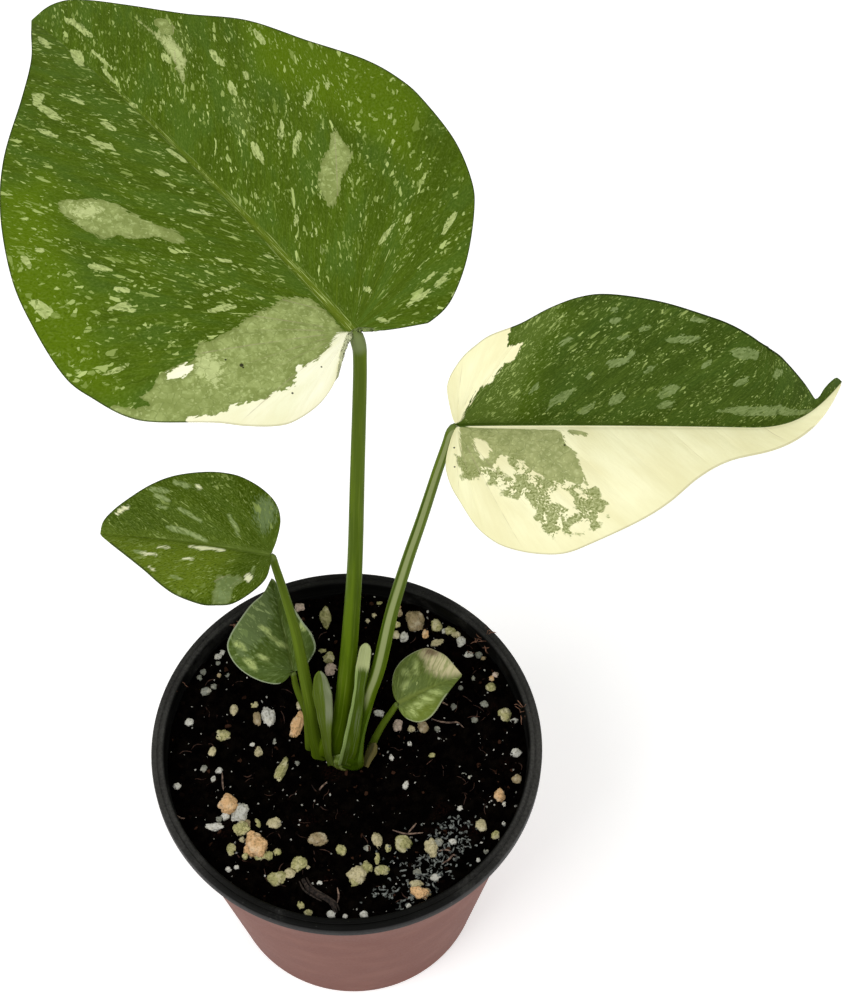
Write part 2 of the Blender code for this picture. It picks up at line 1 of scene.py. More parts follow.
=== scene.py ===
"""Looks of the potted variegated monstera: leaves, stalks, sheaths, crown, peat, grains, pot and studio.

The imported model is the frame. Each of its nodes is replaced by a finer piece in the same place.
Sizes are millimetres unless a name says otherwise, and MM turns them into Blender's metres.
"""

import logging
import math
import random
from dataclasses import dataclass
from enum import Enum
from functools import partial, reduce
from typing import Iterable, Sequence, Union

import bmesh
import bpy
import numpy as np
from mathutils import Matrix, Vector, noise


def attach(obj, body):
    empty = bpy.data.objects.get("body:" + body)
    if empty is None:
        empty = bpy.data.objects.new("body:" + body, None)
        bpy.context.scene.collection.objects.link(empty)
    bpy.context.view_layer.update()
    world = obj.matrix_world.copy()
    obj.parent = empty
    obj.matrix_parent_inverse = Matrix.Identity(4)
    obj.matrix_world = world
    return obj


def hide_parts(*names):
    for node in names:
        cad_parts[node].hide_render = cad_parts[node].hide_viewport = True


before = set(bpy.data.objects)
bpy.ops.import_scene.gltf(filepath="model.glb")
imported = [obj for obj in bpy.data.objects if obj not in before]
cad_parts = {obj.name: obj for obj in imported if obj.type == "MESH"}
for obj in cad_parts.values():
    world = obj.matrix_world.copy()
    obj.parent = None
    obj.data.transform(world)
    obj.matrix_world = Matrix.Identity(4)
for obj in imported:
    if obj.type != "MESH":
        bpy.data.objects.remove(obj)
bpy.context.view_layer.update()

Socket = bpy.types.NodeSocket
Source = Union[Socket, float, tuple, str]
Scale = Union[float, tuple]

log = logging.getLogger("monstera")

MM = 0.001
BODY = "root"

POT_HEIGHT = 90.0
RIM_RADIUS = 50.0
RIM_INNER_RADIUS = 46.6
RIM_SKIRT = 3.8
WALL = 1.1
WALL_TOP_RADIUS = 47.6
BASE_RADIUS = 35.2
FLOOR = 1.3
FOOT_LIFT = 1.8

SOIL_LEVEL = 79.0
SOIL_EDGE_RISE = 5.5
SOIL_DISH_RADIUS = 12.0
SOIL_DISH_WIDTH = 32.0
CALM_RADIUS = 12.0
CROWN_AT = (-1.0, 1.0)

# Where the middle of a side vein lies, as a share of its reach along and away from the midrib
VEIN_BEND = (0.42, 0.5)
# Markings are measured no further than this from their edge
FIELD_REACH = 5.0
# Length, width, share and strength of each size of fleck on the leaves
FLECK_SIZES = ((0.5, 0.36, 1.7, 0.5), (1.0, 0.46, 2.3, 0.85), (1.8, 0.72, 1.2, 0.95), (3.2, 1.05, 0.55, 0.95))


class Tone(Enum):
    """What a marking on a leaf paints. The value is the name of the attribute that holds it."""

    SAGE = "sage"
    SPLASH = "splash"
    CREAM = "cream"
    SAGE_OVER = "sage_over"
    MOSS = "moss"
    HOLE = "hole"
    BROWN = "brown"
    BRIGHT = "bright"
    # a lighter veil over parts of a leaf, partly a painted sheen
    SHEEN_HAZE = "sheen_haze"
    SHADE = "shade"


class Stone(Enum):
    """Kinds of grain in the peat. The value is the grain's colour."""

    WHITE = "#C9C7BE"
    CREAM = "#BDB28C"
    TAN = "#9A8868"
    PEACH = "#DBB080"
    PINK = "#CDB6A6"
    GREY = "#84857C"
    ALGAE = "#B4AD7C"


@dataclass(frozen=True)
class LeafSpec:
    """Form and markings of one leaf.

    An outline lists two numbers for each corner in turn: how far along the midrib, and how far away from it,
    positive on the left.
    """

    base: tuple  # where the stalk ends
    heading: float  # of the midrib at the base, in degrees from +X
    rise: float  # slope of the midrib at the base
    droop: float  # what the slope loses by the tip
    roll: float  # turn about the midrib
    fold: tuple  # lift of the left and right half at the midrib
    curl: tuple  # slope of each half at span
    span: float  # distance from the midrib at which curl is reached
    length: float  # of the midrib
    hook: tuple  # bend up, bend left and start of the last stretch
    vein: float  # how steeply the side veins leave the midrib
    rib: float  # thickness at the midrib
    grid: tuple  # rows and columns of each half
    veins: int  # side veins of each half
    left: tuple  # margin of the left half
    right: tuple  # margin of the right half, with away positive too
    patches: dict  # outlines for each tone
    strokes: tuple = ()  # short pale marks as (along, away, along, away, half width)
    whites: tuple = ()  # the same in cream
    spots: tuple = ()  # black specks as (along, away, radius)


@dataclass(frozen=True)
class Band:
    """A lengthwise stripe on a stalk."""

    turn: float  # where it lies round the stalk, 0.5 towards the viewer
    width: float  # half width as a part of the way round
    start: float  # height along the stalk where it begins
    stop: float  # height where it ends
    colour: str
    lean: float = 0.0  # how far it turns for each millimetre of height


@dataclass(frozen=True)
class StalkSpec:
    """One leaf stalk."""

    path: tuple  # waypoints from the foot up
    radii: tuple  # at the foot, half way and the top
    flare: float  # how much wider the foot is than it is deep
    flare_height: float  # over which the flare fades
    collar: float  # length of the pale joint under the leaf
    bands: tuple = ()


@dataclass(frozen=True)
class SheathSpec:
    """One papery leaf base."""

    path: tuple  # centre line from the foot up
    half_widths: tuple  # at even steps along it
    cup: float  # how far the edges come forward, as a part of the half width
    body: str  # colour of the middle
    wing: str  # colour of the edges
    wing_from: float  # where the wing begins, from 0 at the left edge to 1 at the right
    wing_above: float = 0.0  # share of the length over which the wing is missing
    tip: str = "#C3CC9B"  # colour of the upper end
    tip_share: float = 0.0  # how much of the length it takes


# A patch of the large leaf that is sage and under the lighter veil too, which is partly a painted sheen
STREAKED_PATCH = (
    98.7, -16.3, 92.3, -16.5, 88.1, -18.8, 80.7, -17, 78.4, -14.7, 76.3, -13.7, 75.3, -11.9, 81.2, -14, 90.1,
    -15.8, 93.8, -16.3,
)

LEAVES = {
    "large": LeafSpec(
        base=(4, 41, 215.2), heading=130.3, rise=9.2, droop=20, roll=0, fold=(14, 14), curl=(-12, -12),
        span=54, length=121.9, hook=(-6, 0, 0.85), vein=1.3, rib=1.9, grid=(190, 84), veins=15,
        left=(
            -0.2, 0.5, -1.5, 3.1, -4.4, 7.3, -8.1, 11.9, -10.4, 18.2, -10.5, 24.9, -8.9, 29, -5, 34, -0.5,
            38.5, 7.6, 48.2, 12.8, 52.2, 20, 54.8, 28.4, 56.5, 41.6, 54.7, 55.2, 50.9, 70.8, 42.8, 83, 33.3,
            96, 19.5, 106.6, 9.7, 116.4, 3.4, 121.9, 0,
        ),
        right=(
            -0.2, 0.5, -1.5, 2.4, -4.5, 5.6, -8.4, 12.3, -9.3, 14.9, -8.3, 21.2, -2.8, 30.4, 6.1, 40.4, 12.6,
            45.3, 23.5, 49.7, 36.6, 51.6, 44.1, 51.4, 53.5, 48.7, 66.6, 41.4, 80.4, 34.7, 92, 25.4, 105.2,
            17.3, 115.8, 11.3, 119.4, 8.6, 121.6, 5, 121.9, 0,
        ),
        patches={
            Tone.SAGE: (
                (
                    0.9, 1.7, 7.2, 1.6, 10.3, 2.2, 12.6, 3.5, 15, 7.9, 14.5, 11.1, 15.1, 16.9, 14.5, 23.7, 16,
                    29.7, 13.7, 32.9, 15.5, 40.9, 14.2, 44.2, 14.4, 47.2, 12.4, 46.7, 11.1, 47.3, 12.3, 49.3,
                    16.4, 53.1, 16.3, 54.9, 11.3, 53.3, 6.1, 49.3, 2.2, 44.4, -6.6, 35.2, -10.9, 29.7, -12.7,
                    25.3, -13.3, 20.8, -12, 15.6, -11, 9.6, -7, 2.4, -2.6, -0.6, -0.4, -0.4,
                ),
                (
                    65.2, 31.7, 60.6, 25, 57.8, 22.2, 52.8, 20.9, 41.9, 15.8, 38.9, 15.4, 38.3, 16, 40.2,
                    18.4, 44.1, 20.7, 45.1, 23.4, 48.7, 26.7, 49.7, 29.9, 60.8, 32.6,
                ),
                (
                    41.9, -29.9, 39.6, -28.8, 34.7, -28.6, 32.9, -26.9, 30.4, -22.5, 25.1, -15.5, 28.3, -15.4,
                    31.6, -16.5, 33.3, -17.8, 36.8, -21.5, 38.3, -24.9, 41.1, -27.7,
                ),
                STREAKED_PATCH,
                (95.8, -19.4, 93.9, -21.4, 90.2, -20.8, 88.5, -19.1, 90.4, -17.4, 93.4, -17.8),
            ),
            Tone.CREAM: (
                (
                    1.2, 2.9, -1.8, 11, -1.3, 13.4, -1.7, 14.8, -0.6, 15.8, -1.1, 17, -2, 16.9, -2.5, 18.1,
                    -2.5, 19.8, -3.7, 18.9, -3.8, 20.9, -2.8, 24.2, -2.9, 26.6, 0.5, 33.4, -0.6, 34.7, 3.7,
                    42.4, 2.2, 44.4, -6.6, 34.9, -10.9, 29.7, -12.7, 25.3, -13.3, 20.8, -12, 15.6, -11, 9.6,
                    -7, 2.4, -2.6, -0.6, -0.4, -0.4,
                ),
                (14.8, 39.7, 14, 36, 13.5, 33.9, 12.2, 34.7, 11.8, 37.3, 13.2, 40.5),
            ),
            Tone.SPLASH: (
                (114.3, -5, 111.8, -6.4, 108.1, -6.4, 102.4, -6.4, 104.5, -5.1, 109.7, -5.2, 112.5, -4.4),
                (105.2, -0.1, 102.5, -1.5, 99.9, -0.7, 98.7, 0.6, 97.2, 0.6, 98.4, 2.1, 102.2, 1.3),
                (
                    96.2, 16.3, 94.3, 14.2, 91.8, 16.8, 88.1, 15.9, 83.1, 15.7, 85.5, 17.4, 88.8, 18, 92.7,
                    18.3,
                ),
                (77.6, 15.9, 74.4, 14.2, 71.6, 12, 68.8, 12.2, 71.1, 14.1, 74.3, 15.1),
                (79.2, -22.3, 78.1, -23.2, 75.4, -22.6, 73, -22.2, 72.4, -21.6, 74.7, -21.2, 77.6, -21.7),
                (49.1, 51.5, 46.9, 49.3, 45, 48.8, 42.8, 48.8, 42.1, 49.9, 42.5, 51.4, 45.2, 51.7),
                (35, 40, 34.9, 37.6, 33.3, 34.9, 32.9, 36, 30.6, 34.4, 31, 36.2, 33.3, 38.3),
            ),
            Tone.SHEEN_HAZE: (
                (62.5, 29.5, 58.5, 25, 56, 25.5, 57, 29, 60, 30.6),
                (63.7, -17.5, 61.2, -18.5, 56, -16.6, 52.3, -13.1, 54.6, -12.3, 59.5, -13.8),
                (89.8, -20.6, 89.1, -21.7, 84.7, -20.7, 81, -18.4, 81.5, -17, 85.6, -18.1), STREAKED_PATCH,
                (13.9, 32.7, 12.1, 29, 9.3, 28.8, 5.6, 32.2, 5.6, 34.2, 8.7, 33.8, 10.7, 34.6),
            ),
            Tone.BRIGHT: (
                (76.4, 38.8, 71.8, 29.7, 54, 38.6, 33.6, 45.7, 16.3, 50.8, 26.9, 59, 49.7, 55.6, 66.7, 48),
                (79.9, -35.3, 53.1, -49.4, 34.6, -51.9, 28.2, -37.3, 46.4, -31.9, 65.9, -27.2),
            ),
            Tone.SHADE: ((13.6, 44.9, 13.1, 39.9, 7, 38, 3.6, 34.5, 0.9, 34.8, 3.9, 41.7, 8.9, 46.4),),
        },
        strokes=(
            (85.7, -14, 82.6, -13.6, 0.65), (113.6, 3, 108.5, 3.4, 0.54), (100.2, -3.3, 91.5, -3.3, 0.24),
            (94.3, -1.7, 87.5, -1.1, 0.24), (85.5, 22, 80.7, 20.2, 0.54), (89.9, 10.2, 86.4, 9, 0.43),
            (80.8, 0.2, 78.4, -0.5, 0.43), (78.7, 9.2, 74.7, 8.4, 0.54), (63.5, 2.2, 57.5, 1.1, 0.43),
            (59.4, 8.8, 56.3, 7.3, 0.54), (67.8, -19.9, 64.1, -18.3, 0.54), (50.9, -13, 45.8, -11.4, 0.65),
            (53.6, -31.9, 50.5, -27.9, 0.54), (51.4, -22, 46.3, -17.1, 0.38),
            (46.3, -22.8, 42.3, -18.2, 0.48), (53.1, -37, 51.8, -34.7, 0.48),
            (68.1, -24.2, 65.6, -23.4, 0.43), (76.5, -34.1, 71.9, -33, 0.65),
            (31.1, -38.1, 28.5, -33.9, 0.21), (37.6, -42.6, 36.2, -40.8, 0.32),
            (12.2, -18, 13.7, -23.3, 0.43), (12.4, -25.7, 13.5, -28.1, 0.38), (5.6, -30.6, 8.1, -36.4, 0.48),
            (-3.2, -12.7, -3.5, -19.2, 0.38), (-3.7, -20.5, -2.8, -24.6, 0.43),
            (-1.4, -19.6, -0.8, -22.6, 0.32), (-1.5, -6.1, -3.4, -7.4, 0.43), (23.3, -7.7, 24.5, -11.6, 0.38),
            (20.2, -8.3, 18.1, -6.6, 0.38), (30.1, -8.7, 27.8, -6.8, 0.32), (19.1, 14.3, 17, 11.5, 0.38),
            (27, 3.7, 24.9, 2.4, 0.43), (6, -8.4, 4.6, -9, 0.43), (58.2, 45.6, 55, 46, 0.54),
            (46.3, 36.1, 42.3, 33.4, 0.54), (21.2, 23.1, 18.8, 17.6, 0.54), (24.9, 21.5, 22.7, 12.8, 0.32),
            (31.4, 13.7, 28.7, 10.8, 0.27), (23.4, 50.2, 21.6, 44.7, 0.43), (38.3, 35.4, 35.7, 33.5, 0.43),
            (58.1, 42.5, 56, 41.2, 0.38), (45.6, 9.9, 41.5, 5.8, 0.43),
        ),
        spots=(
            (9.6, 27.7, 0.22), (6.56, 25.76, 0.42), (5.9, 25.85, 0.2), (-5.1, 21.2, 0.24), (-3.6, 11.9, 0.2),
        ),
    ),
    "right": LeafSpec(
        base=(27.2, 35.6, 185.2), heading=-4, rise=7.5, droop=5, roll=34.9, fold=(42, 42), curl=(5, 5),
        span=34, length=89.8, hook=(32, 45, 0.72), vein=0.95, rib=1.6, grid=(150, 60), veins=13,
        left=(
            -0.2, 0.4, -0.8, 2.8, -1.3, 10, -0.7, 13, 0.8, 15.8, 3.1, 18.9, 5.7, 21.2, 9.1, 23.6, 15.7, 26.2,
            22.2, 29.7, 28.7, 32.1, 35.1, 32.7, 45.8, 31.1, 56, 28, 61.2, 26, 66.5, 23, 69, 22, 72, 21.4, 75,
            21.5, 78, 22.1, 81, 22.6, 83.5, 22, 84.8, 20.2, 84.8, 18, 84.4, 13.7, 83.9, 9.1, 83.2, 4.3, 83,
            2.4, 84, 2, 86, 2.9, 88, 3.1, 90, 2.4, 90, 0,
        ),
        right=(
            -0.2, 0.4, -1.2, 4, -1.9, 10.4, -0.6, 15.4, 1.8, 19.6, 5.2, 24.8, 8.7, 28, 12.6, 30, 18.8, 31.3,
            25.5, 31.2, 32.2, 28.6, 42.1, 23.7, 48.6, 19.3, 55.1, 13.2, 61.7, 9, 70.9, 6.2, 81, 2.9, 89.8, 0,
        ),
        patches={
            Tone.CREAM: (
                (
                    -1.2, 0, -3.3, 10.4, -1.5, 16.5, 4.7, 23.5, 10, 26.2, 13.5, 25.3, 13.1, 20.9, 16.1, 21.7,
                    14.5, 18.1, 12.9, 17.2, 11.8, 17.2, 11.5, 15.8, 9.3, 13.9, 8.9, 12.5, 7.3, 11.7, 5.4, 9.9,
                    1, 1.6,
                ),
                (-6, 0, 0.4, 0, 1, -0.55, 3.9, -1.15, 4.1, -0.8, 1.4, -0.2, 1.8, 0, 96, 0, 96, -45, -6, -45),
            ),
            Tone.SHEEN_HAZE: (
                (
                    12.6, 23.9, 17.5, 27.5, 22.7, 30.1, 23.9, 27.4, 19, 21.1, 15.6, 12.8, 13.2, 1.4, 0.3, 0.9,
                    3.1, 5.2, 7.3, 11.7, 11.6, 17.3, 15.5, 21.3,
                ),
            ),
            Tone.BRIGHT: (
                (
                    12.2, 24.4, 17.9, 28.4, 24.4, 31.9, 27, 28.8, 21.6, 21, 19.6, 12.8, 18.1, 1.1, -0.1, 0.6,
                    3.2, 5.9, 7.3, 12.4, 11.7, 17.8,
                ),
            ),
            Tone.SPLASH: (
                (34.3, 17, 35.9, 18, 38.2, 18.4, 40.4, 20.3, 40.6, 19.5, 39.3, 17.6, 37, 16.3, 34.8, 15.5),
                (
                    20.7, 4.1, 21.7, 7.4, 24, 9.3, 26.3, 10.2, 27.5, 11.5, 27.5, 10.2, 25.9, 8.1, 23.9, 6.9,
                    22.4, 6,
                ),
                (34.3, 5.3, 34.8, 7.4, 35.8, 8.9, 37.7, 9.6, 38.3, 8.6, 37.3, 6.8, 35.8, 6.3),
                (27.5, 3.8, 30.8, 6.7, 31.6, 7, 31.4, 5.5, 28.8, 3.3),
                (46.9, 22.7, 50.1, 23.7, 55.1, 23.5, 54.4, 22.3, 51, 21.8, 47.6, 22),
                (60.9, 20.4, 63.9, 21.1, 68.3, 20.3, 67.5, 18.4, 63.6, 18.1, 61.4, 19),
                (45.3, 8.4, 46.6, 10.8, 49, 12.1, 50.6, 11.6, 49.5, 9.5, 46.9, 7.9),
                (45.1, 5.4, 46.5, 7.3, 49.5, 7.7, 48.7, 6, 46.5, 5.1),
                (73, 13.9, 76.9, 16, 81.7, 16.3, 78.8, 14.2, 74.8, 13.3),
                (57.8, 4.7, 63.7, 6.3, 73.8, 6.1, 81.6, 0.3, 80.3, 0, 73.3, 3.2, 63.8, 3.7),
            ),
            Tone.SAGE_OVER: (
                (
                    0.6, -0.3, 23.7, -1.3, 25.3, -5.7, 27.2, -7.1, 29.8, -14.6, 28.1, -15.7, 25.7, -14.5,
                    21.9, -14.9, 15.1, -9.5, 13.6, -9.3, 12.3, -8.2, 10.4, -8.2, 8.6, -11.7, 6.3, -11.3, 5.4,
                    -13.4, 4.1, -14.6, 2.5, -13.8, 0.9, -10.3, 1.4, -7.7,
                ),
                (25.3, -1.3, 27.6, -1.3, 29.8, -2.4, 29.6, -3.1, 27.6, -2.9, 25.7, -2.1),
            ),
            Tone.MOSS: (
                (
                    0.8, -8.1, 1.8, -12.5, 2.9, -14.6, 4.1, -14.9, 4.8, -13.4, 8.3, -13.4, 9.2, -15.5, 11.5,
                    -17.2, 12.8, -18.8, 14.7, -19.2, 15.8, -18, 17.8, -19.6, 18.6, -22.8, 20.2, -25.9, 22.2,
                    -27.8, 23.3, -27.8, 24.1, -26.2, 26, -27.4, 27.5, -27, 26.8, -25.4, 25.2, -23.9, 31.3,
                    -25.6, 32.5, -25, 33.2, -22.7, 34.5, -22.2, 34.3, -19.5, 33.1, -18.3, 31.9, -15.4, 30.4,
                    -15, 28.1, -15.9, 25.7, -14.7, 21.1, -14.7, 19.5, -13.4, 17.6, -12.6, 14, -9.5, 12.4,
                    -9.5, 13.3, -13.4, 11.8, -12.6, 10.1, -10.4, 8.6, -11.7, 5.9, -11.3, 4, -13.8,
                ),
            ),
            Tone.HOLE: (
                (3.9, -4, 5.5, -3.8, 7.1, -5, 8.4, -7.1, 7.3, -8.8, 6.1, -9.1, 4.7, -6.8),
                (9.7, -10, 11.2, -8.6, 12.4, -10.4, 14.1, -12.6, 13.8, -14.3, 12.2, -13.4, 10.6, -12.1),
                (
                    21.8, -18.4, 23.9, -15.9, 25.4, -16.7, 27.8, -19.9, 27.8, -21.3, 25.9, -21.5, 24, -20.2,
                    22.4, -19.8,
                ),
                (27.3, -16.7, 29.6, -15.9, 29.3, -17.5, 28.1, -17.9),
            ),
        },
        strokes=(
            (17.3, 9.3, 19.5, 12.2, 0.32), (37, 23, 39, 23.1, 0.43), (35.5, 26.7, 37.1, 27, 0.48),
            (35.2, 29.2, 36.6, 29.3, 0.43), (52.2, 27.5, 55.6, 26.7, 0.32), (24.3, 21.3, 26.9, 22.9, 0.32),
            (42.7, 14.8, 44.8, 16.6, 0.43), (54.6, 16, 57.1, 17.5, 0.43), (62.3, 11.9, 65.1, 13.7, 0.43),
            (29.5, 12.7, 31.1, 14.8, 0.32), (41.6, 24.7, 43.7, 25.6, 0.32),
        ),
        spots=((24.8, -5.5, 0.22), (-0.2, -6.1, 0.22), (0.2, -11.1, 0.2)),
    ),
    "left": LeafSpec(
        base=(-18, 30, 135.3), heading=171, rise=8, droop=20, roll=-0.9, fold=(22, 22), curl=(2, 2), span=18,
        length=43.2, hook=(0, 0, 0.8), vein=1.3, rib=1.3, grid=(96, 40), veins=10,
        left=(
            -0.2, 0.3, -0.6, 3.6, -0.1, 8.5, 2.7, 13.5, 6.2, 17.2, 9.8, 18.4, 13.5, 18.8, 19.6, 17.3, 24,
            14.8, 28.7, 11.2, 33.6, 7.6, 38.9, 3.6, 43.2, 0,
        ),
        right=(
            -0.2, 0.3, -0.8, 4, -0.7, 9, 1.2, 13, 4.7, 15.9, 9, 17.9, 13, 18.8, 18.9, 18.5, 26.4, 16.5, 31.8,
            13.6, 37.1, 9.3, 40.8, 5.8, 42.8, 3, 43.2, 0,
        ),
        patches={
            Tone.SAGE: (
                (
                    11.5, 9.8, 5.7, 8.9, 5, 10, 5.5, 11.7, 6.6, 12.3, 6.8, 14.3, 6.7, 16.5, 7.1, 17.9, 8.2,
                    18.3, 10.6, 18.6, 11.3, 14.5, 11.1, 12.9,
                ),
            ),
            Tone.CREAM: ((4.9, 8.9, 4, 7.6, 3.2, 8, 2.8, 9.4, 3.5, 10.4, 4.4, 9.8),),
            Tone.SHEEN_HAZE: ((5.6, -13, 3.3, -13.7, 1.2, -11.8, 1.3, -8.6, 2.7, -5.7, 5, -8.4),),
            Tone.BRIGHT: ((9, 1.5, 41, 0.8, 40, 5, 31, 11, 20, 17, 13, 16),),
        },
        strokes=(
            (32.5, 5.5, 29, 6, 0.4), (22.2, 12, 19.1, 12.7, 0.32), (3.2, 7.7, 3.2, 5.1, 0.2),
            (31.8, -12.2, 27.7, -11.8, 0.5), (30.5, -10.7, 26.8, -9.5, 0.5), (26.3, -14.6, 22.2, -13.8, 0.45),
            (29.6, -7.9, 27, -7.6, 0.3), (24.1, -7.9, 18.2, -5.4, 0.3), (11.7, -7.9, 8.4, -3.3, 0.32),
            (15.9, -0.6, 20.4, -2, 0.4), (20.4, -2, 26.3, -2.9, 0.4),
        ),
        whites=(
            (19.4, 1.9, 11.3, 1.4, 0.34), (30.5, 5.8, 27.3, 6.2, 0.35), (27, 3.5, 24.8, 3.2, 0.25),
            (20.3, 6.5, 17.7, 5.9, 0.25), (27.5, 10.2, 26.5, 11, 0.25), (20.8, -14.2, 20, -14, 0.3),
            (39.4, -5.4, 37.1, -7.1, 0.35),
        ),
    ),
    "low_left": LeafSpec(
        base=(-13.7, 15.7, 100.2), heading=104, rise=18.9, droop=12, roll=0, fold=(22, 55), curl=(0, 30),
        span=14, length=25.3, hook=(0, 0, 0.8), vein=0.9, rib=1.1, grid=(66, 26), veins=8,
        left=(
            -0.2, 0.3, -2, 2.5, -2.6, 5, -1.1, 8.9, 1.8, 12.5, 5.3, 14.8, 9.1, 15.5, 12, 14, 15.2, 11, 18.7,
            7.2, 21.4, 3.2, 25.3, 0,
        ),
        right=(-0.2, 0.3, -0.4, 3.4, 1, 6.4, 3.4, 9.2, 7, 9, 10.6, 7.1, 15.3, 5, 21.8, 1.7, 25.3, 0),
        patches={Tone.SHEEN_HAZE: ((20.4, 9.6, 23.5, 2.3, 16.6, 1.9, 9.1, 6.4, 6.5, 12.7, 13.1, 13.3),)},
        strokes=(
            (10, 13.3, 7.4, 11.2, 0.5), (12.6, 6.1, 10.9, 3.8, 0.45), (5, 11.8, 3.2, 9.6, 0.55),
            (8, 2.3, 6.4, 0.2, 0.35), (5.5, 8.2, 3.8, 6, 0.45), (10.4, -5.6, 8.5, -7.5, 0.5),
            (11.8, 5.4, 7, 1.9, 0.35), (3.9, 11, 2.2, 9.6, 0.5),
        ),
    ),
    "small_right": LeafSpec(
        base=(13.1, 8.1, 97.1), heading=25, rise=12.4, droop=20, roll=8.8, fold=(20, 20), curl=(-10, -10),
        span=9, length=18.2, hook=(0, 0, 0.8), vein=0.9, rib=1.1, grid=(60, 24), veins=7,
        left=(
            -0.1, 0.3, -0.1, 2.2, 0.6, 4.4, 2.1, 7, 4.3, 8.9, 7, 10, 10.4, 10.4, 12.9, 9.9, 14.6, 8.1, 16.1,
            6, 17.2, 2.7, 18.2, 0,
        ),
        right=(
            -0.1, 0.3, -0.5, 2.2, 0.2, 5, 2.3, 7.2, 5, 7.6, 7.7, 6.6, 10.5, 4.7, 13.3, 2.9, 16.1, 1.2, 18.2,
            0,
        ),
        patches={
            Tone.CREAM: (
                (
                    12.6, 12, 10.4, 9.8, 10.8, 6.4, 10.4, 4.2, 12.4, 2, 15, 0.6, 18.4, 0.2, 18.4, 1.2, 16.2,
                    6, 14.6, 10.5,
                ),
            ),
            Tone.BROWN: ((11.7, 11, 13.7, 10.6, 15.2, 7.7, 14.2, 6.6, 12.6, 7.4, 11.6, 8.6),),
            Tone.BRIGHT: ((2, -7.5, 1, -4, 4, -2.5, 9, -2.5, 9, -6, 5, -8),),
        },
        strokes=(
            (4.8, 6.6, 5.6, 5.6, 0.4), (4, -2.6, 5, -3.6, 0.5), (6, -1.6, 8, -3.4, 0.5),
            (8.6, -1, 10.6, -2.6, 0.4), (2.2, -3, 2.6, -5, 0.4), (3, 3, 4.6, 3.6, 0.4),
            (7.5, 5, 8.6, 7.6, 0.35),
        ),
    ),
}

STALKS = {
    "large": StalkSpec(
        path=(
            (-3.4, 2, 80.5), (-2.8, 2.4, 86), (-1.1, 5.4, 96), (0.2, 9.1, 108.1), (1.6, 14.2, 124.1),
            (3.2, 20.8, 147.1), (4.4, 29, 176.1), (5.4, 36, 200.2), (5.6, 38.3, 208.2), (5.5, 39.4, 211.6),
            (4.6, 41, 213.9), (3.4, 41.9, 214.2),
        ),
        radii=(2.5, 1.85, 1.5), flare=1, flare_height=17, collar=5,
    ),
    "right": StalkSpec(
        path=(
            (1, -1.3, 80.5), (1.3, -1.1, 83.9), (1.4, -1, 86), (3.4, 2.6, 96), (6, 6.8, 106), (8.6, 10, 115),
            (11.9, 16, 132.1), (15.4, 21.2, 146.1), (19.4, 26.4, 160.2), (22.9, 31.2, 173.2),
            (24.9, 34, 179.8), (25.7, 35.3, 182.6), (26.6, 35.7, 184), (27.9, 35.6, 184.7),
        ),
        radii=(2.1, 1.6, 1.1), flare=0.5, flare_height=15, collar=2.4,
        bands=(
            Band(0.44, 0.2, -20, 26, "#344A04"), Band(0.63, 0.055, 0, 26, "#5C7626"),
            Band(0.335, 0.03, 22, 100, "#33460A"), Band(0.445, 0.085, 22, 400, "#8E9665"),
            Band(0.3, 0.035, -5, 24, "#A9B487", 0.004),
        ),
    ),
    "left": StalkSpec(
        path=(
            (-6.8, 1.6, 74), (-7.3, 2.1, 80.6), (-8.6, 4, 88.6), (-9.3, 7.3, 98.1), (-10.7, 12.6, 107.1),
            (-12.5, 18.8, 117.2), (-15.1, 24.6, 126.8), (-16.6, 27.7, 131.6), (-17.5, 29.6, 134.1),
            (-18.4, 30.1, 134.9),
        ),
        radii=(1.8, 1.5, 0.95), flare=0.5, flare_height=17, collar=1.6,
    ),
    "low_left": StalkSpec(
        path=(
            (-10.2, 4.1, 73), (-10.2, 4.1, 80.6), (-10.3, 6.3, 85.1), (-10.6, 8.9, 89.1), (-11.9, 11.2, 92.5),
            (-13.1, 13.4, 95.8), (-13.6, 15, 98.9), (-13.8, 15.9, 99.8),
        ),
        radii=(1.1, 0.95, 0.75), flare=0.2, flare_height=4, collar=0.9,
    ),
    "small_right": StalkSpec(
        path=(
            (5.6, 1.9, 73), (5.6, 1.9, 80), (6.7, 2.9, 85), (8.9, 4.8, 90.4), (11.3, 6.6, 94.5),
            (12.4, 7.6, 96), (13.3, 8.2, 96.9),
        ),
        radii=(1.1, 0.95, 0.75), flare=0.2, flare_height=4, collar=0.9,
    ),
}

SHEATHS = {
    "left": SheathSpec(
        path=(
            (-4.3, -1.5, 79.6), (-4.9, -0.9, 86.5), (-5.2, 1.6, 94), (-5.4, 4.5, 101), (-5.9, 7, 108),
            (-6.2, 8.7, 113.6),
        ),
        half_widths=(0.7, 0.8, 1.2, 1.9, 2.3, 1.1), cup=0.35, body="#55661D", wing="#78805F", wing_from=0.52,
        wing_above=0.45,
    ),
    "centre": SheathSpec(
        path=(
            (-0.8, -2.9, 83), (0.7, -2.2, 91), (1.9, 0.5, 98), (3, 3.5, 105), (3.9, 6.9, 112),
            (4.9, 10, 118.6), (5.5, 11.7, 123),
        ),
        half_widths=(1.5, 1.9, 1.8, 1.5, 1.2, 1.6, 1.2), cup=0.25, body="#869A58", wing="#3E5107",
        wing_from=0.12, tip="#A0A873", tip_share=0.22,
    ),
    "right": SheathSpec(
        path=((4.5, -1.8, 79.8), (5.2, -1, 82.6), (6.2, -0.1, 85.4), (7, 0.9, 88.2)),
        half_widths=(0.8, 1.1, 1.3, 0.8), cup=0.3, body="#3E3B1A", wing="#6B6238", wing_from=0.5,
    ),
}

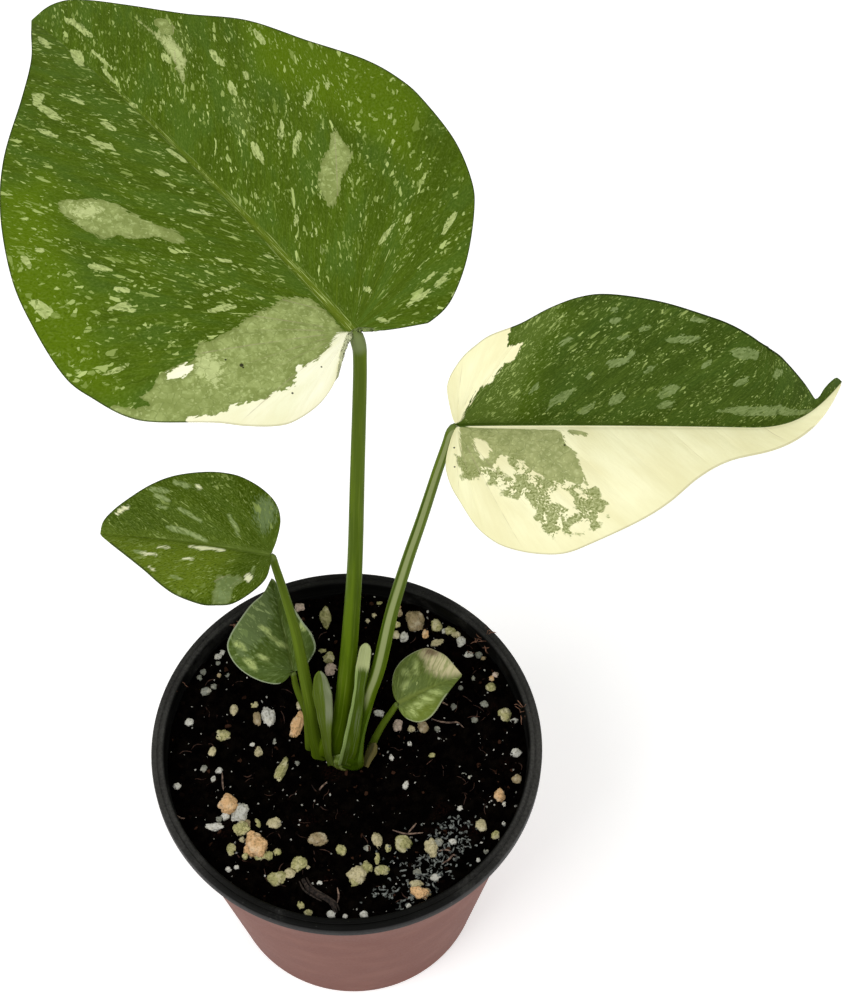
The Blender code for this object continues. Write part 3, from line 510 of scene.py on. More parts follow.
# Grains of each kind as (x, y, width, depth), and lean in degrees where they lean
GRAINS = {
    Stone.CREAM: (
        (-29.8, 12.7, 2.1, 3.2), (-34.9, 0.4, 1.9, 2.8), (-23.3, 1.9, 2.2, 2.8), (-26.3, -23.4, 1.5, 1.7),
        (-18.4, -18.6, 3.5, 2.8), (-9.6, -30.9, 1.5, 1.7), (-13.9, -32.8, 3, 2.5), (34.3, -20.2, 2.8, 3.2),
        (7.8, -22.6, 2.4, 4.5), (21.7, -25.9, 3.3, 4.7), (3, -32.9, 4.6, 4.5), (17.5, -35.8, 3.6, 2.3),
        (-13, 15.6, 1.7, 2.3), (28.6, 34.1, 1.6, 1.5), (28.2, 33.8, 2.6, 1.5), (23.1, 32, 3.6, 2, 20),
        (12.3, 34, 2.1, 2.4), (6.5, 39.9, 1.4, 1.6), (4.7, 38.5, 1.2, 1.2), (16.4, 8.7, 2.1, 1.9),
    ),
    Stone.WHITE: (
        (-21, 11.8, 3.2, 5.5, 15), (-41.2, 8.7, 2.2, 2.5), (-32.9, -4.5, 1.9, 1.7), (-34.3, -7.2, 1.3, 1.7),
        (-43.3, -9.5, 1.9, 1.7), (-27.4, -16.3, 3.9, 5.5, -30), (-30.8, -17.2, 2.1, 2.3),
        (-33.6, -20.4, 4.7, 2.1), (-29.2, -32.4, 1.5, 1.5), (-27.3, -31.5, 1.3, 1.3), (-3, -43.9, 2.6, 1.9),
        (-6.4, -35.4, 1.5, 1.1), (-24.9, 3.8, 1.3, 1.1), (43.3, -0.2, 2.8, 2.3), (40.2, -14.1, 1, 1.5),
        (15, -6.8, 1.7, 2.3, -20), (11.3, 1.1, 1.2, 1.9), (16, 4.9, 1.2, 1.5), (28.9, -15, 1.5, 1.5),
        (39.9, -20, 1, 1.3), (22.6, -34.1, 2.7, 1.9), (4.8, -43.9, 2.3, 1.9, -40), (0.2, -44.6, 1.3, 1.3),
        (15.9, -41.7, 1.3, 1.3), (33.4, -29.7, 1.2, 1.3), (27, -24.2, 2, 1.7), (-33.7, 28.9, 1.5, 1.7),
        (-34.5, 27.7, 2, 1.6), (25.1, 35.4, 1.4, 1.5), (29.5, 31.9, 2.4, 2.8, -20), (31.5, 28.2, 2.3, 1.6),
        (14.4, 33.8, 2.4, 3.1), (43.3, 9.3, 2.1, 1.5), (8, 13.6, 3.1, 2),
    ),
    Stone.TAN: (
        (-23.9, 11.2, 2.1, 4.2), (-25.4, -19.2, 2.2, 2.5), (-7.2, -22.4, 4.8, 3.2), (43.5, -7.4, 2.3, 2.4),
        (20.4, -38.2, 2, 2.3), (-34.2, 22.1, 1.4, 1.5), (17.4, 38.1, 4.5, 5.5), (13.2, 40.6, 1.9, 2.4),
        (35.4, 27.1, 1.4, 1.2), (19.4, 9.6, 2.5, 3.7, 20),
    ),
    Stone.PEACH: (
        (-13.3, 10.3, 3.2, 7, -10), (-30.1, -14.3, 5, 4.7, 10), (-22.8, -25.4, 5.6, 6.8),
        (39, -12.1, 2.8, 3.2), (18.5, -38.2, 4.6, 3.2, -15), (20.1, 34.5, 1.8, 3), (12.9, 41.9, 1.7, 2.8),
        (37.5, 21.2, 1.5, 1.6),
    ),
    Stone.ALGAE: (
        (-32.3, 5.3, 3.7, 2.8), (-17, -2.6, 2.4, 7, -20), (-26.6, -20.5, 4.1, 3.8), (-21.4, -28, 3.4, 2.5),
        (-19.4, -28.1, 2.2, 2.5), (-28.9, -26.4, 2.2, 3.8), (-25.3, -28.4, 1.7, 1.7),
        (-22.7, -18.5, 1.7, 2.5), (-11.8, -30.3, 4.1, 3.6, 20), (-17.1, -34.1, 4.5, 3.6),
        (-1.5, -25.6, 2.2, 2.5), (-17.3, -26.9, 2.1, 1.9), (-10.9, -41.4, 1.7, 2.1), (-9, -43.3, 2.2, 1.7),
        (21.9, 1, 1.8, 1.5), (37.8, -23, 2.2, 2.1), (14.4, -24.2, 4.3, 4), (10.6, -24.9, 1.5, 2.3),
        (7.9, -27.8, 1.4, 3.2), (5.3, -30.8, 3, 3.2), (9.2, -32, 3.8, 2.4, 15), (2.4, -34.7, 3, 2.6),
        (-0.9, -25.9, 2, 3), (-6.5, 39.1, 2.9, 5.4, -10), (-7.2, 30.2, 2, 1.5), (-5.5, 28.5, 3, 3.1),
        (-24.6, 14.6, 2, 1.7), (23.1, 36.9, 2.9, 3.5), (26.7, 35, 2.6, 2.3), (12.5, 36.9, 2.1, 1.7),
        (7.8, 43.8, 1.6, 1.2), (37.2, 18.5, 2.4, 2.4), (40.7, 10.7, 3.3, 3.7),
    ),
    Stone.GREY: (
        (-36.8, -4.3, 1.9, 1.9), (-32.3, -18.2, 1.7, 1.5), (-19.1, 5.2, 1.1, 1.7), (-13.2, -0.5, 1.5, 1.3),
        (5.4, -25.4, 2, 1.9), (23.5, -24.5, 2.3, 2.3), (17.9, -32.6, 2, 1.9), (35.3, -27.3, 1.3, 1.3),
        (24.3, -22, 1.8, 1.1), (31.6, -6.2, 1.2, 1.3), (30, -5.2, 1.2, 1.1), (-34.5, 25.7, 1.2, 1.3),
        (-38.2, 22.9, 1.5, 1.6), (-39.2, 21.2, 1.5, 1.5), (-37.3, 17.4, 3, 2.1, 25), (-35.3, 18.9, 1.5, 1.7),
        (-32.1, 22.6, 1.5, 1.3), (34.2, 28.2, 1.9, 1.8), (32.8, 21.5, 1.2, 1.6), (29.4, 18.9, 1.3, 1.4),
        (35.4, 13.8, 2.1, 1.7), (27.5, 13.8, 1.6, 1.8), (32.9, 9.5, 1.7, 1.8), (23.2, 8.4, 1.6, 1.4),
    ),
    Stone.PINK: (
        (-13.4, 42, 2.4, 2.5), (-4.9, 25.5, 3.2, 3.3), (38.5, 22.1, 1.6, 1.8), (12.8, 10.1, 2.5, 3.5),
    ),
}

# Rootlets on the peat as waypoints
ROOTLETS = (
    ((21.8, 11.6), (23.6, 10.3), (26.4, 9.6), (28.4, 9.5), (30.1, 7.6)),
    ((22.7, 15.3), (24.3, 15.5), (26, 14.4)),
    ((11.7, -19.8), (13.3, -20.3), (15.2, -21.1), (17.8, -21.4), (19.5, -21.3)),
    ((17.8, -18.3), (16.9, -19.6), (15.6, -21.1)), ((23.3, -26.8), (24.9, -26.4), (26.5, -27.1)),
    ((24.3, -30.5), (25.9, -29.6), (27.1, -28.2), (28.1, -28.7)),
    ((-32.1, -5.2), (-31.9, -8), (-31.5, -10.2)), ((-5.3, -6), (-6.7, -7.4), (-7.4, -8.6)),
    ((-43.1, -17.5), (-41.9, -18.4), (-40.8, -18.6)), ((-1.9, -36.7), (-1.5, -39), (-1.9, -40.9)),
)

# Waypoints of the splintered piece of bark
BARK = ((-10.2, -34.4), (-8.9, -37), (-6.9, -38.3), (-4.4, -40), (-2.6, -41.3), (-1.8, -43.3))

# Patches of pale crust on the peat: x, y, spread and number of threads
CRUST = ((28, -22, 4.2, 60), (22, -30.5, 3.8, 60), (13.5, -38, 4, 50), (20, -26, 6.5, 40))

# Tufts of coir that hang on the rim: x, y, spread and number of strands
COIR = ((35.6, 30.5, 1.6, 14), (45.7, 10.5, 1.3, 10), (-44.3, 15.3, 0.9, 6), (-31, 35.2, 1, 7))


def linear(colour: str) -> tuple:
    """Turns a colour as it is seen into the light that Blender mixes.

    Args:
        colour: hexadecimal colour such as "#4A6A16".

    Returns:
        Red, green, blue and alpha.
    """
    parts = [int(colour[i:i + 2], 16) / 255.0 for i in (1, 3, 5)]
    return (*[c / 12.92 if c <= 0.04045 else ((c + 0.055) / 1.055) ** 2.4 for c in parts], 1.0)


def smooth_step(value: np.ndarray) -> np.ndarray:
    """Eases a number or an array, held between 0 and 1."""
    value = np.clip(value, 0.0, 1.0)
    return value * value * (3.0 - 2.0 * value)


def length_along(line: np.ndarray) -> np.ndarray:
    """Measures a line up to each of its points."""
    return np.concatenate([[0.0], np.cumsum(np.linalg.norm(np.diff(line, axis=0), axis=1))])


def rounded_line(points: Sequence, count: int) -> np.ndarray:
    """Draws a smooth line through the points.

    Args:
        points: waypoints of any dimension.
        count: number of stretches in the result.

    Returns:
        count + 1 evenly spaced places.
    """
    ends = [np.array(p, float) for p in points]
    ends = [2 * ends[0] - ends[1]] + ends + [2 * ends[-1] - ends[-2]]
    dense = []
    for before, start, stop, after in zip(ends, ends[1:], ends[2:], ends[3:]):
        for t in np.arange(24) / 24.0:
            slope = (stop - before) * t
            bend = (2 * before - 5 * start + 4 * stop - after) * t**2
            dense.append(0.5 * (2 * start + slope + bend + (3 * start - before - 3 * stop + after) * t**3))
    dense.append(ends[-2])
    line = np.array(dense)
    run = length_along(line)
    at = np.linspace(0.0, run[-1], count + 1)
    return np.stack([np.interp(at, run, line[:, k]) for k in range(line.shape[1])], axis=1)


def axes_at(line: np.ndarray, index: int, toward: tuple) -> tuple:
    """Finds two directions at a point of a line.

    Args:
        line: (n, 3) places.
        index: which of them.
        toward: rough second direction.

    Returns:
        The direction ahead, and the one square to it on the side of toward.
    """
    ahead = line[min(index + 1, len(line) - 1)] - line[max(index - 1, 0)]
    ahead /= np.linalg.norm(ahead)
    across = np.array(toward) - ahead * (ahead @ toward)
    return ahead, across / np.linalg.norm(across)


def grid_faces(rows: int, columns: int, first: int = 0) -> np.ndarray:
    """Joins a grid of points that are counted row by row.

    Args:
        rows: points down.
        columns: points across.
        first: number of the first point.

    Returns:
        (n, 4) corners.
    """
    index = first + np.arange(rows * columns).reshape(rows, columns)
    return np.stack([index[:-1, :-1], index[:-1, 1:], index[1:, 1:], index[1:, :-1]], axis=-1).reshape(-1, 4)


def outline_distance(points: np.ndarray, outline: Sequence) -> np.ndarray:
    """Measures how deep each point lies in a closed outline.

    Args:
        points: places as an (n, 2) array.
        outline: both numbers of each corner in turn.

    Returns:
        Distance to the outline, positive inside.
    """
    start = np.reshape(outline, (-1, 2))
    stop = np.roll(start, -1, axis=0)
    edge = stop - start
    offset = points[:, None, :] - start
    part = np.clip((offset * edge).sum(-1) / np.maximum((edge**2).sum(-1), 1e-9), 0.0, 1.0)
    near = np.linalg.norm(offset - part[..., None] * edge, axis=-1).min(axis=1)
    x, y = points[:, :1], points[:, 1:]
    rises = (start[:, 1] > y) != (stop[:, 1] > y)
    drop = np.where(np.abs(edge[:, 1]) < 1e-9, 1e-9, edge[:, 1])
    crossed = rises & (x < edge[:, 0] * (y - start[:, 1]) / drop + start[:, 0])
    return np.where(crossed.sum(axis=1) % 2 == 1, near, -near)


def stroke_distance(points: np.ndarray, stroke: Sequence[float]) -> np.ndarray:
    """Measures how deep each point lies in a short mark that thins towards both ends.

    Args:
        points: places as an (n, 2) array.
        stroke: (along, away, along, away, half width).

    Returns:
        Distance to the mark's edge, positive inside.
    """
    start, stop = np.array(stroke[0:2]), np.array(stroke[2:4])
    edge = stop - start
    part = np.clip(((points - start) @ edge) / max(float(edge @ edge), 1e-9), 0.0, 1.0)
    width = stroke[4] * (1.15 - 0.6 * (2.0 * part - 1.0) ** 2)
    return width - np.linalg.norm(points - start - part[:, None] * edge, axis=1)


def new_object(name: str, content: bpy.types.ID) -> bpy.types.Object:
    """Makes an object and shows it in the scene.

    Args:
        name: name of the object.
        content: its mesh, curve, lamp or camera.

    Returns:
        The object.
    """
    item = bpy.data.objects.new(name, content)
    bpy.context.scene.collection.objects.link(item)
    return item


def mesh_from(name: str, points: Sequence, faces: Iterable) -> bpy.types.Mesh:
    """Makes a smooth mesh.

    Args:
        name: name of the mesh.
        points: places in millimetres.
        faces: corner indices of each face.

    Returns:
        The mesh.
    """
    mesh = bpy.data.meshes.new(name)
    mesh.from_pydata((np.asarray(points, float) * MM).tolist(), [], [tuple(int(i) for i in f) for f in faces])
    mesh.update()
    mesh.shade_smooth()
    return mesh


def set_attribute(mesh: bpy.types.Mesh, name: str, values: np.ndarray) -> None:
    """Stores one number per point on a mesh."""
    mesh.attributes.new(name, "FLOAT", "POINT").data.foreach_set("value", np.asarray(values, np.float32))


def set_uv(mesh: bpy.types.Mesh, name: str, values: np.ndarray) -> None:
    """Stores one flat place per point as a UV map.

    Args:
        mesh: the mesh.
        name: name of the map.
        values: (n, 2) array, one row for each point.
    """
    corner = np.empty(len(mesh.loops), np.int32)
    mesh.loops.foreach_get("vertex_index", corner)
    mesh.uv_layers.new(name=name).data.foreach_set("uv", np.asarray(values, np.float32)[corner].ravel())


def turned_outwards(mesh: bpy.types.Mesh, merge: float = 0.0) -> None:
    """Turns the faces of a closed mesh outwards.

    Args:
        mesh: the mesh.
        merge: points closer than this become one first.
    """
    shape = bmesh.new()
    shape.from_mesh(mesh)
    if merge:
        bmesh.ops.remove_doubles(shape, verts=shape.verts, dist=merge * MM)
    bmesh.ops.recalc_face_normals(shape, faces=shape.faces)
    shape.to_mesh(mesh)
    shape.free()


def made_plain(item: bpy.types.Object) -> bpy.types.Object:
    """Turns an object with modifiers, or a curve, into a plain mesh object of the same name.

    Args:
        item: the object, which is removed.

    Returns:
        The new object.
    """
    name = item.name
    graph = bpy.context.evaluated_depsgraph_get()
    mesh = bpy.data.meshes.new_from_object(item.evaluated_get(graph), depsgraph=graph)
    bpy.data.objects.remove(item, do_unlink=True)
    mesh.name = name
    return new_object(name, mesh)


def thickened(item: bpy.types.Object, thickness: float, **settings: object) -> bpy.types.Object:
    """Gives a sheet its thickness, below its faces.

    Args:
        item: the sheet, which is removed.
        thickness: the thickness.
        settings: further settings of the modifier.

    Returns:
        The new object.
    """
    solid = item.modifiers.new("thickness", "SOLIDIFY")
    solid.thickness = thickness * MM
    solid.offset = -1.0
    for key, value in settings.items():
        setattr(solid, key, value)
    return made_plain(item)


def hand_over(item: bpy.types.Object, slot: str, *nodes: str) -> bpy.types.Object:
    """Ties a finished piece to the frame.

    Args:
        item: the piece.
        slot: the record's material slot, which is not used.
        nodes: CAD nodes that it stands for.

    Returns:
        The piece.
    """
    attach(item, BODY)
    if nodes:
        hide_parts(*nodes)
    return item


class Graph:
    """The node tree of one material, with a short call for each node that the finishes use."""

    def __init__(self, name: str, roughness: float = 0.5, specular: float = 0.5) -> None:
        """Starts a material.

        Args:
            name: name of the material.
            roughness: roughness where no map is given.
            specular: strength of the reflection.
        """
        self.material = bpy.data.materials.new(name)
        self.material.use_nodes = True
        self.tree = self.material.node_tree
        self.shader = self.tree.nodes["Principled BSDF"]
        self.shader.inputs["Roughness"].default_value = roughness
        self.shader.inputs["Specular IOR Level"].default_value = specular

    def feed(self, socket: Socket, source: Source) -> None:
        """Links a socket, or sets its value.

        Args:
            socket: input of a node.
            source: what goes into it.
        """
        if isinstance(source, bpy.types.NodeSocket):
            self.tree.links.new(source, socket)
        else:
            socket.default_value = linear(source) if isinstance(source, str) else source

    def node(self, kind: str, sources: dict, **settings: object) -> bpy.types.NodeOutputs:
        """Adds a node.

        Args:
            kind: Blender's name of the node after "ShaderNode".
            sources: what goes into each input, by its name or number.
            settings: the node's own settings.

        Returns:
            Its outputs.
        """
        node = self.tree.nodes.new("ShaderNode" + kind)
        for key, value in settings.items():
            setattr(node, key, value)
        for key, source in sources.items():
            self.feed(node.inputs[key], source)
        return node.outputs

    def maths(self, operation: str, first: Source, second: Source = 0.0) -> Socket:
        """Works out one number from two."""
        return self.node("Math", {0: first, 1: second}, operation=operation)[0]

    def total(self, *parts: Source) -> Socket:
        """Adds up several numbers."""
        return reduce(partial(self.maths, "ADD"), parts)

    def times(self, *parts: Source) -> Socket:
        """Multiplies several numbers."""
        return reduce(partial(self.maths, "MULTIPLY"), parts)

    def minus(self, first: Source, second: Source) -> Socket:
        """Takes the second number from the first."""
        return self.maths("SUBTRACT", first, second)

    def without(self, mask: Source, other: Source) -> Socket:
        """Takes one mask out of another."""
        return self.times(mask, self.minus(1.0, other))

    def scaled(self, place: Source, scale: Scale) -> Socket:
        """Scales a place by one factor, or by one for each axis."""
        factors = (*scale, 1.0)[:3] if isinstance(scale, tuple) else (scale, scale, scale)
        return self.node("VectorMath", {0: place, 1: factors}, operation="MULTIPLY")[0]

    def shift(self, place: Source, by: Source) -> Socket:
        """Adds two places."""
        return self.node("VectorMath", {0: place, 1: by}, operation="ADD")[0]

    def away(self, place: Source, centre: tuple = (0.0, 0.0, 0.0)) -> Socket:
        """Measures the distance from a centre."""
        return self.node("VectorMath", {0: place, 1: centre}, operation="DISTANCE")["Value"]

    def step(self, value: Source, low: float, high: float) -> Socket:
        """Rises smoothly from 0 at low to 1 at high.

        Args:
            value: the number to ease.
            low: where it is 0, which may be the larger number.
            high: where it is 1.

        Returns:
            The eased number.
        """
        ends = {"From Min": min(low, high), "From Max": max(low, high)}
        ends.update({"To Min": float(low > high), "To Max": float(low < high), "Value": value})
        return self.node("MapRange", ends, interpolation_type="SMOOTHSTEP")["Result"]

    def blend(self, factor: Source, first: Source, second: Source) -> Socket:
        """Mixes two colours, the first at a factor of 0 and the second at 1."""
        return self.node("Mix", {0: factor, 6: first, 7: second}, data_type="RGBA")[2]

    def over(self, colour: Source, paint: Source, *masks: Source) -> Socket:
        """Lays a paint over a colour as far as all the masks let it."""
        return self.blend(self.times(*masks), colour, paint)

    def noise(self, place: Source, scale: Scale, detail: float = 4.0, output: str = "Fac") -> Socket:
        """Soft noise round 0.5, with lumps about one over the scale wide and finer layers in it."""
        sources = {"Vector": self.scaled(place, scale), "Scale": 1.0, "Detail": detail}
        return self.node("TexNoise", sources)[output]

    def cells(self, place: Source, scale: Scale, flat: bool = True) -> bpy.types.NodeOutputs:
        """Cells about one over the scale wide, with the outputs Distance and Color."""
        sources = {"Vector": self.scaled(place, scale), "Scale": 1.0}
        return self.node("TexVoronoi", sources, voronoi_dimensions="2D" if flat else "3D")

    def cell_edges(self, place: Source, scale: Scale) -> Socket:
        """Measures how near the edge of a flat cell is.

        Args:
            place: where to read it.
            scale: cells to a millimetre.

        Returns:
            The distance.
        """
        sources = {"Vector": self.scaled(place, scale), "Scale": 1.0}
        settings = {"voronoi_dimensions": "2D", "feature": "DISTANCE_TO_EDGE"}
        return self.node("TexVoronoi", sources, **settings)["Distance"]

    def dots(self, place: Source, scale: float, largest: float, edge: tuple, chosen: tuple) -> Socket:
        """Strews small round dots in space.

        Args:
            place: where to read them.
            scale: cells to a millimetre.
            largest: largest radius as a part of a cell.
            edge: depths between which a dot fades in.
            chosen: random numbers between which a cell's dot does.

        Returns:
            Their mask.
        """
        cells = self.cells(place, scale, False)
        number, size, _ = self.channels(cells["Color"])
        near = self.minus(self.times(size, largest), cells["Distance"])
        return self.times(self.step(near, *edge), self.step(number, *chosen))

    def channels(self, colour: Source) -> tuple:
        """Splits a colour or a place into its three numbers."""
        return tuple(self.node("SeparateColor", {0: colour})[:3])

    def attribute(self, name: str, output: str = "Fac") -> Socket:
        """Reads a number, or a colour, that is stored on the mesh."""
        return self.node("Attribute", {}, attribute_name=name)[output]

    def uv(self, name: str) -> Socket:
        """Reads a UV map."""
        return self.node("UVMap", {}, uv_map=name)["UV"]

    def place(self) -> Socket:
        """Reads the place on the object in millimetres."""
        return self.scaled(self.node("TexCoord", {})["Object"], 1000.0)

    def bump(self, height: Source, depth: float, strength: float) -> Socket:
        """Makes a relief of a depth in millimetres from a height map."""
        return self.node("Bump", {"Distance": depth * MM, "Strength": strength, "Height": height})["Normal"]

    def finish(self, colour: Source, roughness: Source = None, normal: Source = None) -> bpy.types.Material:
        """Joins the maps to the shader.

        Args:
            colour: surface colour.
            roughness: roughness map.
            normal: relief.

        Returns:
            The material.
        """
        for name, source in (("Base Color", colour), ("Roughness", roughness), ("Normal", normal)):
            if source is not None:
                self.feed(self.shader.inputs[name], source)
        return self.material


@dataclass(frozen=True)
class LeafFinish:
    """Colours and strengths of a marbled leaf skin."""

    deep: str = "#3F5404"  # green of the shaded parts
    green: str = "#4D640C"
    cool: str = "#43601F"  # bluish green of some patches
    bright: str = "#577001"  # yellow-green of the sunlit parts
    fleck: str = "#7F9340"
    fleck_bright: str = "#B9C97C"
    splash: str = "#9CA966"  # pale marks
    splash_light: str = "#BCCA82"
    sage: str = "#9CA966"  # grey-green of the pale sectors
    sage_cool: str = "#84914F"
    sage_streak: str = "#B0BE7C"
    sage_light: str = "#D3DD9B"
    cream: str = "#F4F4CE"
    cream_light: str = "#FFFEE0"
    cream_warm: str = "#E4DFAC"  # near the margin
    cream_streak: str = "#E2D9A6"
    cream_edge: str = "#A8A27C"
    cream_vein: str = "#A2957A"
    moss: str = "#6C783A"  # green dots on cream
    midrib: str = "#62731A"
    sheen_haze: str = "#7D8F4C"  # soft veil over parts of the green, partly a painted sheen
    brown: str = "#6E5340"  # dried spots
    speck: str = "#1E1A12"
    edge: str = "#2E3D12"  # line along a green margin
    underside: str = "#8F9C66"  # what the underside is mixed with
    edge_share: float = 0.75  # strength of that line
    # how strongly that veil, partly a painted sheen, tints the green
    sheen_haze_share: float = 0.15
    streaked: float = 0.12  # strength of the cream's streaks
    fringe: float = 0.8  # strength of the pale streaks beside the midrib
    share: float = 0.031  # part of the green that small flecks cover
    grain: float = 1.0  # size of the flecks
    net: float = 0.2  # strength of the finest mottling
    mottle: float = 0.3  # strength of the soft mottling
    mottle_size: float = 1.0
    soft: float = 0.08  # how gradually the sectors end
    rib_ragged: float = 0.8  # how uneven the midrib's sides are
    rib_soft: float = 0.7  # how gradually it ends
    rib_above: bool = False  # it shows on the left half only


FINISHES = {
    "large": LeafFinish(),
    "right": LeafFinish(
        deep="#32450A", green="#435716", bright="#455A0B", fleck="#62762F", fleck_bright="#A2B268",
        sage="#A5AB70", splash="#687A42", splash_light="#80905A", cool="#364F16", grain=0.62, net=0.3,
        sage_cool="#8F975C", sage_streak="#B9BF88", share=0.032, cream="#F0EBBC", cream_light="#FAF7CC",
        moss="#6A7336", midrib="#33460A", edge="#1E2C04", edge_share=0.9, fringe=0.0, rib_ragged=0.1,
        rib_soft=0.15, rib_above=True,
    ),
    "left": LeafFinish(
        deep="#3B4E03", green="#4A5D0C", cool="#43581A", bright="#6A7C1A", fleck="#6F8136",
        fleck_bright="#97A65E", splash="#7C8D55", splash_light="#9CAA70", grain=0.75, sage="#7C8D5A",
        sage_cool="#6C7D48", sage_streak="#92A26A", net=0.8, cream="#DFE2B4", cream_light="#ECEDC8",
        midrib="#5A6C28", sheen_haze="#75875A", sheen_haze_share=0.75, fringe=0.25, share=0.028, mottle=0.6,
        mottle_size=1.2, soft=0.35,
    ),
    "low_left": LeafFinish(
        deep="#43541A", green="#51642A", cool="#4E6034", bright="#5C702E", fleck="#70834A",
        fleck_bright="#95A46C", sage="#8A9A60", midrib="#3E4C14", sheen_haze="#66764A", edge="#B4BEA0",
        edge_share=0.6, sheen_haze_share=0.75, fringe=0.6, share=0.03, mottle=0.8, mottle_size=1.6, soft=0.6,
    ),
    "small_right": LeafFinish(
        deep="#525F26", green="#606F36", cool="#5A6A3E", bright="#6E7C2C", fleck="#7E8E48",
        fleck_bright="#A0AC6C", sage="#8E9C5C", cream="#A99C7A", cream_light="#C2B790",
        cream_streak="#838C50", streaked=0.7, midrib="#74803C", brown="#5E4438", edge="#A8AE8C",
        edge_share=0.6, fringe=0.0, share=0.02, mottle=0.7, mottle_size=1.5, soft=1.1,
    ),
}


class LeafSkin(Graph):
    """Paints one face of a leaf: green with pale flecks along the veins, and sage and cream sectors."""

    def __init__(self, name: str, wear: LeafFinish, under: bool) -> None:
        """Lays out the places and the noises that the paints share.

        Args:
            name: name of the material.
            wear: colours and strengths.
            under: the underside, which is paler and duller.
        """
        super().__init__(name, specular=0.05)
        self.wear = wear
        self.under = under
        self.vein = self.uv("vein")
        drift = self.shift(self.noise(self.vein, (0.3, 0.55), 6.0, "Color"), (-0.5, -0.5, -0.5))
        self.spot = self.shift(self.vein, self.scaled(drift, (2.6, 1.7, 0.0)))
        self.flat = self.shift(self.uv("leaf"), self.scaled(drift, (2.2, 2.2, 0.0)))
        blocks = self.channels(self.cells(self.spot, (0.6, 1.25))["Color"])[0]
        ragged = self.total(self.times(blocks, 0.8), self.noise(self.spot, (1.1, 2.3), 3.0), -0.9)
        self.ragged = self.times(ragged, self.step(self.attribute("rib"), 0.3, 2.5))
        self.broad = self.noise(self.vein, (0.05, 0.13), 3.0)
        self.streaks = self.noise(self.spot, (0.16, 1.4))
        self.margin = self.attribute("margin")

    def within(self, tone: Tone, rough: Source, low: float, high: float) -> Socket:
        """Masks a marking, with a number that makes its edge uneven."""
        return self.step(self.total(self.attribute(tone.value), rough), low, high)

    def flecked(self, colour: Source, share: Source) -> Socket:
        """Adds angular flecks that run along the veins.

        Args:
            colour: the green without them.
            share: part of the green that they cover.

        Returns:
            The green with them.
        """
        for length, width, part, weight in FLECK_SIZES:
            scale = (1.0 / (length * self.wear.grain), 1.0 / (width * self.wear.grain))
            chosen, strength, _ = self.channels(self.cells(self.spot, scale)["Color"])
            is_fleck = self.step(self.minus(self.times(share, part), chosen), -0.002, 0.002)
            inside = self.step(self.cell_edges(self.spot, scale), 0.04, 0.14)
            visible = self.total(self.times(strength, weight * 0.45), weight * 0.55)
            shade = self.blend(strength, self.wear.fleck, self.wear.fleck_bright)
            colour = self.over(colour, shade, is_fleck, inside, visible)
        return colour

    def greens(self) -> Socket:
        """Mixes the green with its flecks.

        Returns:
            The colour.
        """
        wear = self.wear
        lit = self.step(self.total(self.streaks, self.broad), 0.78, 1.22)
        colour = self.blend(lit, wear.deep, wear.green)
        cool = self.step(self.noise(self.spot, (0.06, 0.13)), 0.46, 0.62)
        colour = self.over(colour, wear.cool, cool, 0.45)
        sunlit = self.within(Tone.BRIGHT, self.total(self.times(self.broad, 6.0), -3.0), -5.0, 4.0)
        colour = self.over(colour, wear.bright, sunlit, 0.8)
        rough = self.noise(self.spot, (0.9 / wear.mottle_size, 2.6 / wear.mottle_size**1.8))
        colour = self.over(colour, wear.fleck, self.step(rough, 0.46, 0.78), wear.mottle)
        fine = self.noise(self.spot, (1.5, 3.2), 3.0)
        colour = self.over(colour, wear.fleck, self.step(fine, 0.5, 0.72), wear.net)
        colour = self.over(colour, wear.deep, self.step(fine, 0.48, 0.3), 0.35 + wear.net)
        # The veil over the green, partly a painted sheen, with more flecks under it
        sheen_haze = self.within(Tone.SHEEN_HAZE, self.total(self.times(rough, 8.0), -4.0), -1.6, 0.8)
        colour = self.over(colour, wear.sheen_haze, sheen_haze, wear.sheen_haze_share)
        patchy = self.step(self.noise(self.vein, (0.09, 0.16)), 0.4, 0.62)
        share = self.times(self.total(self.times(patchy, 1.3), 0.3, self.times(sheen_haze, 1.6)), wear.share)
        from_base = self.step(self.away(self.uv("leaf")), 3.0, 22.0)
        return self.flecked(colour, self.times(share, self.total(self.times(from_base, 0.7), 0.3)))

    def sages(self) -> Socket:
        """Mixes the mottled sage of the pale sectors.

        Returns:
            The colour.
        """
        wear, flat = self.wear, self.flat
        mottle = self.noise(flat, 1.1, 5.0)
        cloudy = self.step(self.total(self.noise(flat, 0.3), self.times(mottle, 0.4)), 0.58, 0.84)
        sage = self.blend(cloudy, wear.sage_cool, wear.sage)
        sage = self.over(sage, wear.sage_streak, self.step(mottle, 0.52, 0.68), 0.6)
        sage = self.over(sage, wear.moss, self.step(self.noise(flat, (0.6, 2.4)), 0.42, 0.28), 0.5)
        rough = self.total(self.times(self.ragged, 2.0), self.times(mottle, 5.0), -2.5)
        # The veil lightens the sage too, partly as a painted sheen
        sage = self.over(sage, wear.sage_light, self.within(Tone.SHEEN_HAZE, rough, -0.4, 0.4), 0.5)
        dark = self.within(Tone.SHADE, self.times(self.ragged, 2.0), -1.2, 1.2)
        sage = self.over(sage, wear.sage_cool, dark, 0.5)
        cells = self.cells(flat, 1.25)
        chosen, size, _ = self.channels(cells["Color"])
        dots = self.step(self.minus(self.times(size, 0.42), cells["Distance"]), -0.02, 0.12)
        sage = self.over(sage, wear.sage_light, dots, self.step(chosen, 0.72, 0.8), 0.3)
        veinlets = self.step(self.cell_edges(flat, 0.42), 0.07, 0.015)
        return self.over(sage, wear.moss, veinlets, self.step(mottle, 0.4, 0.58), 0.55)

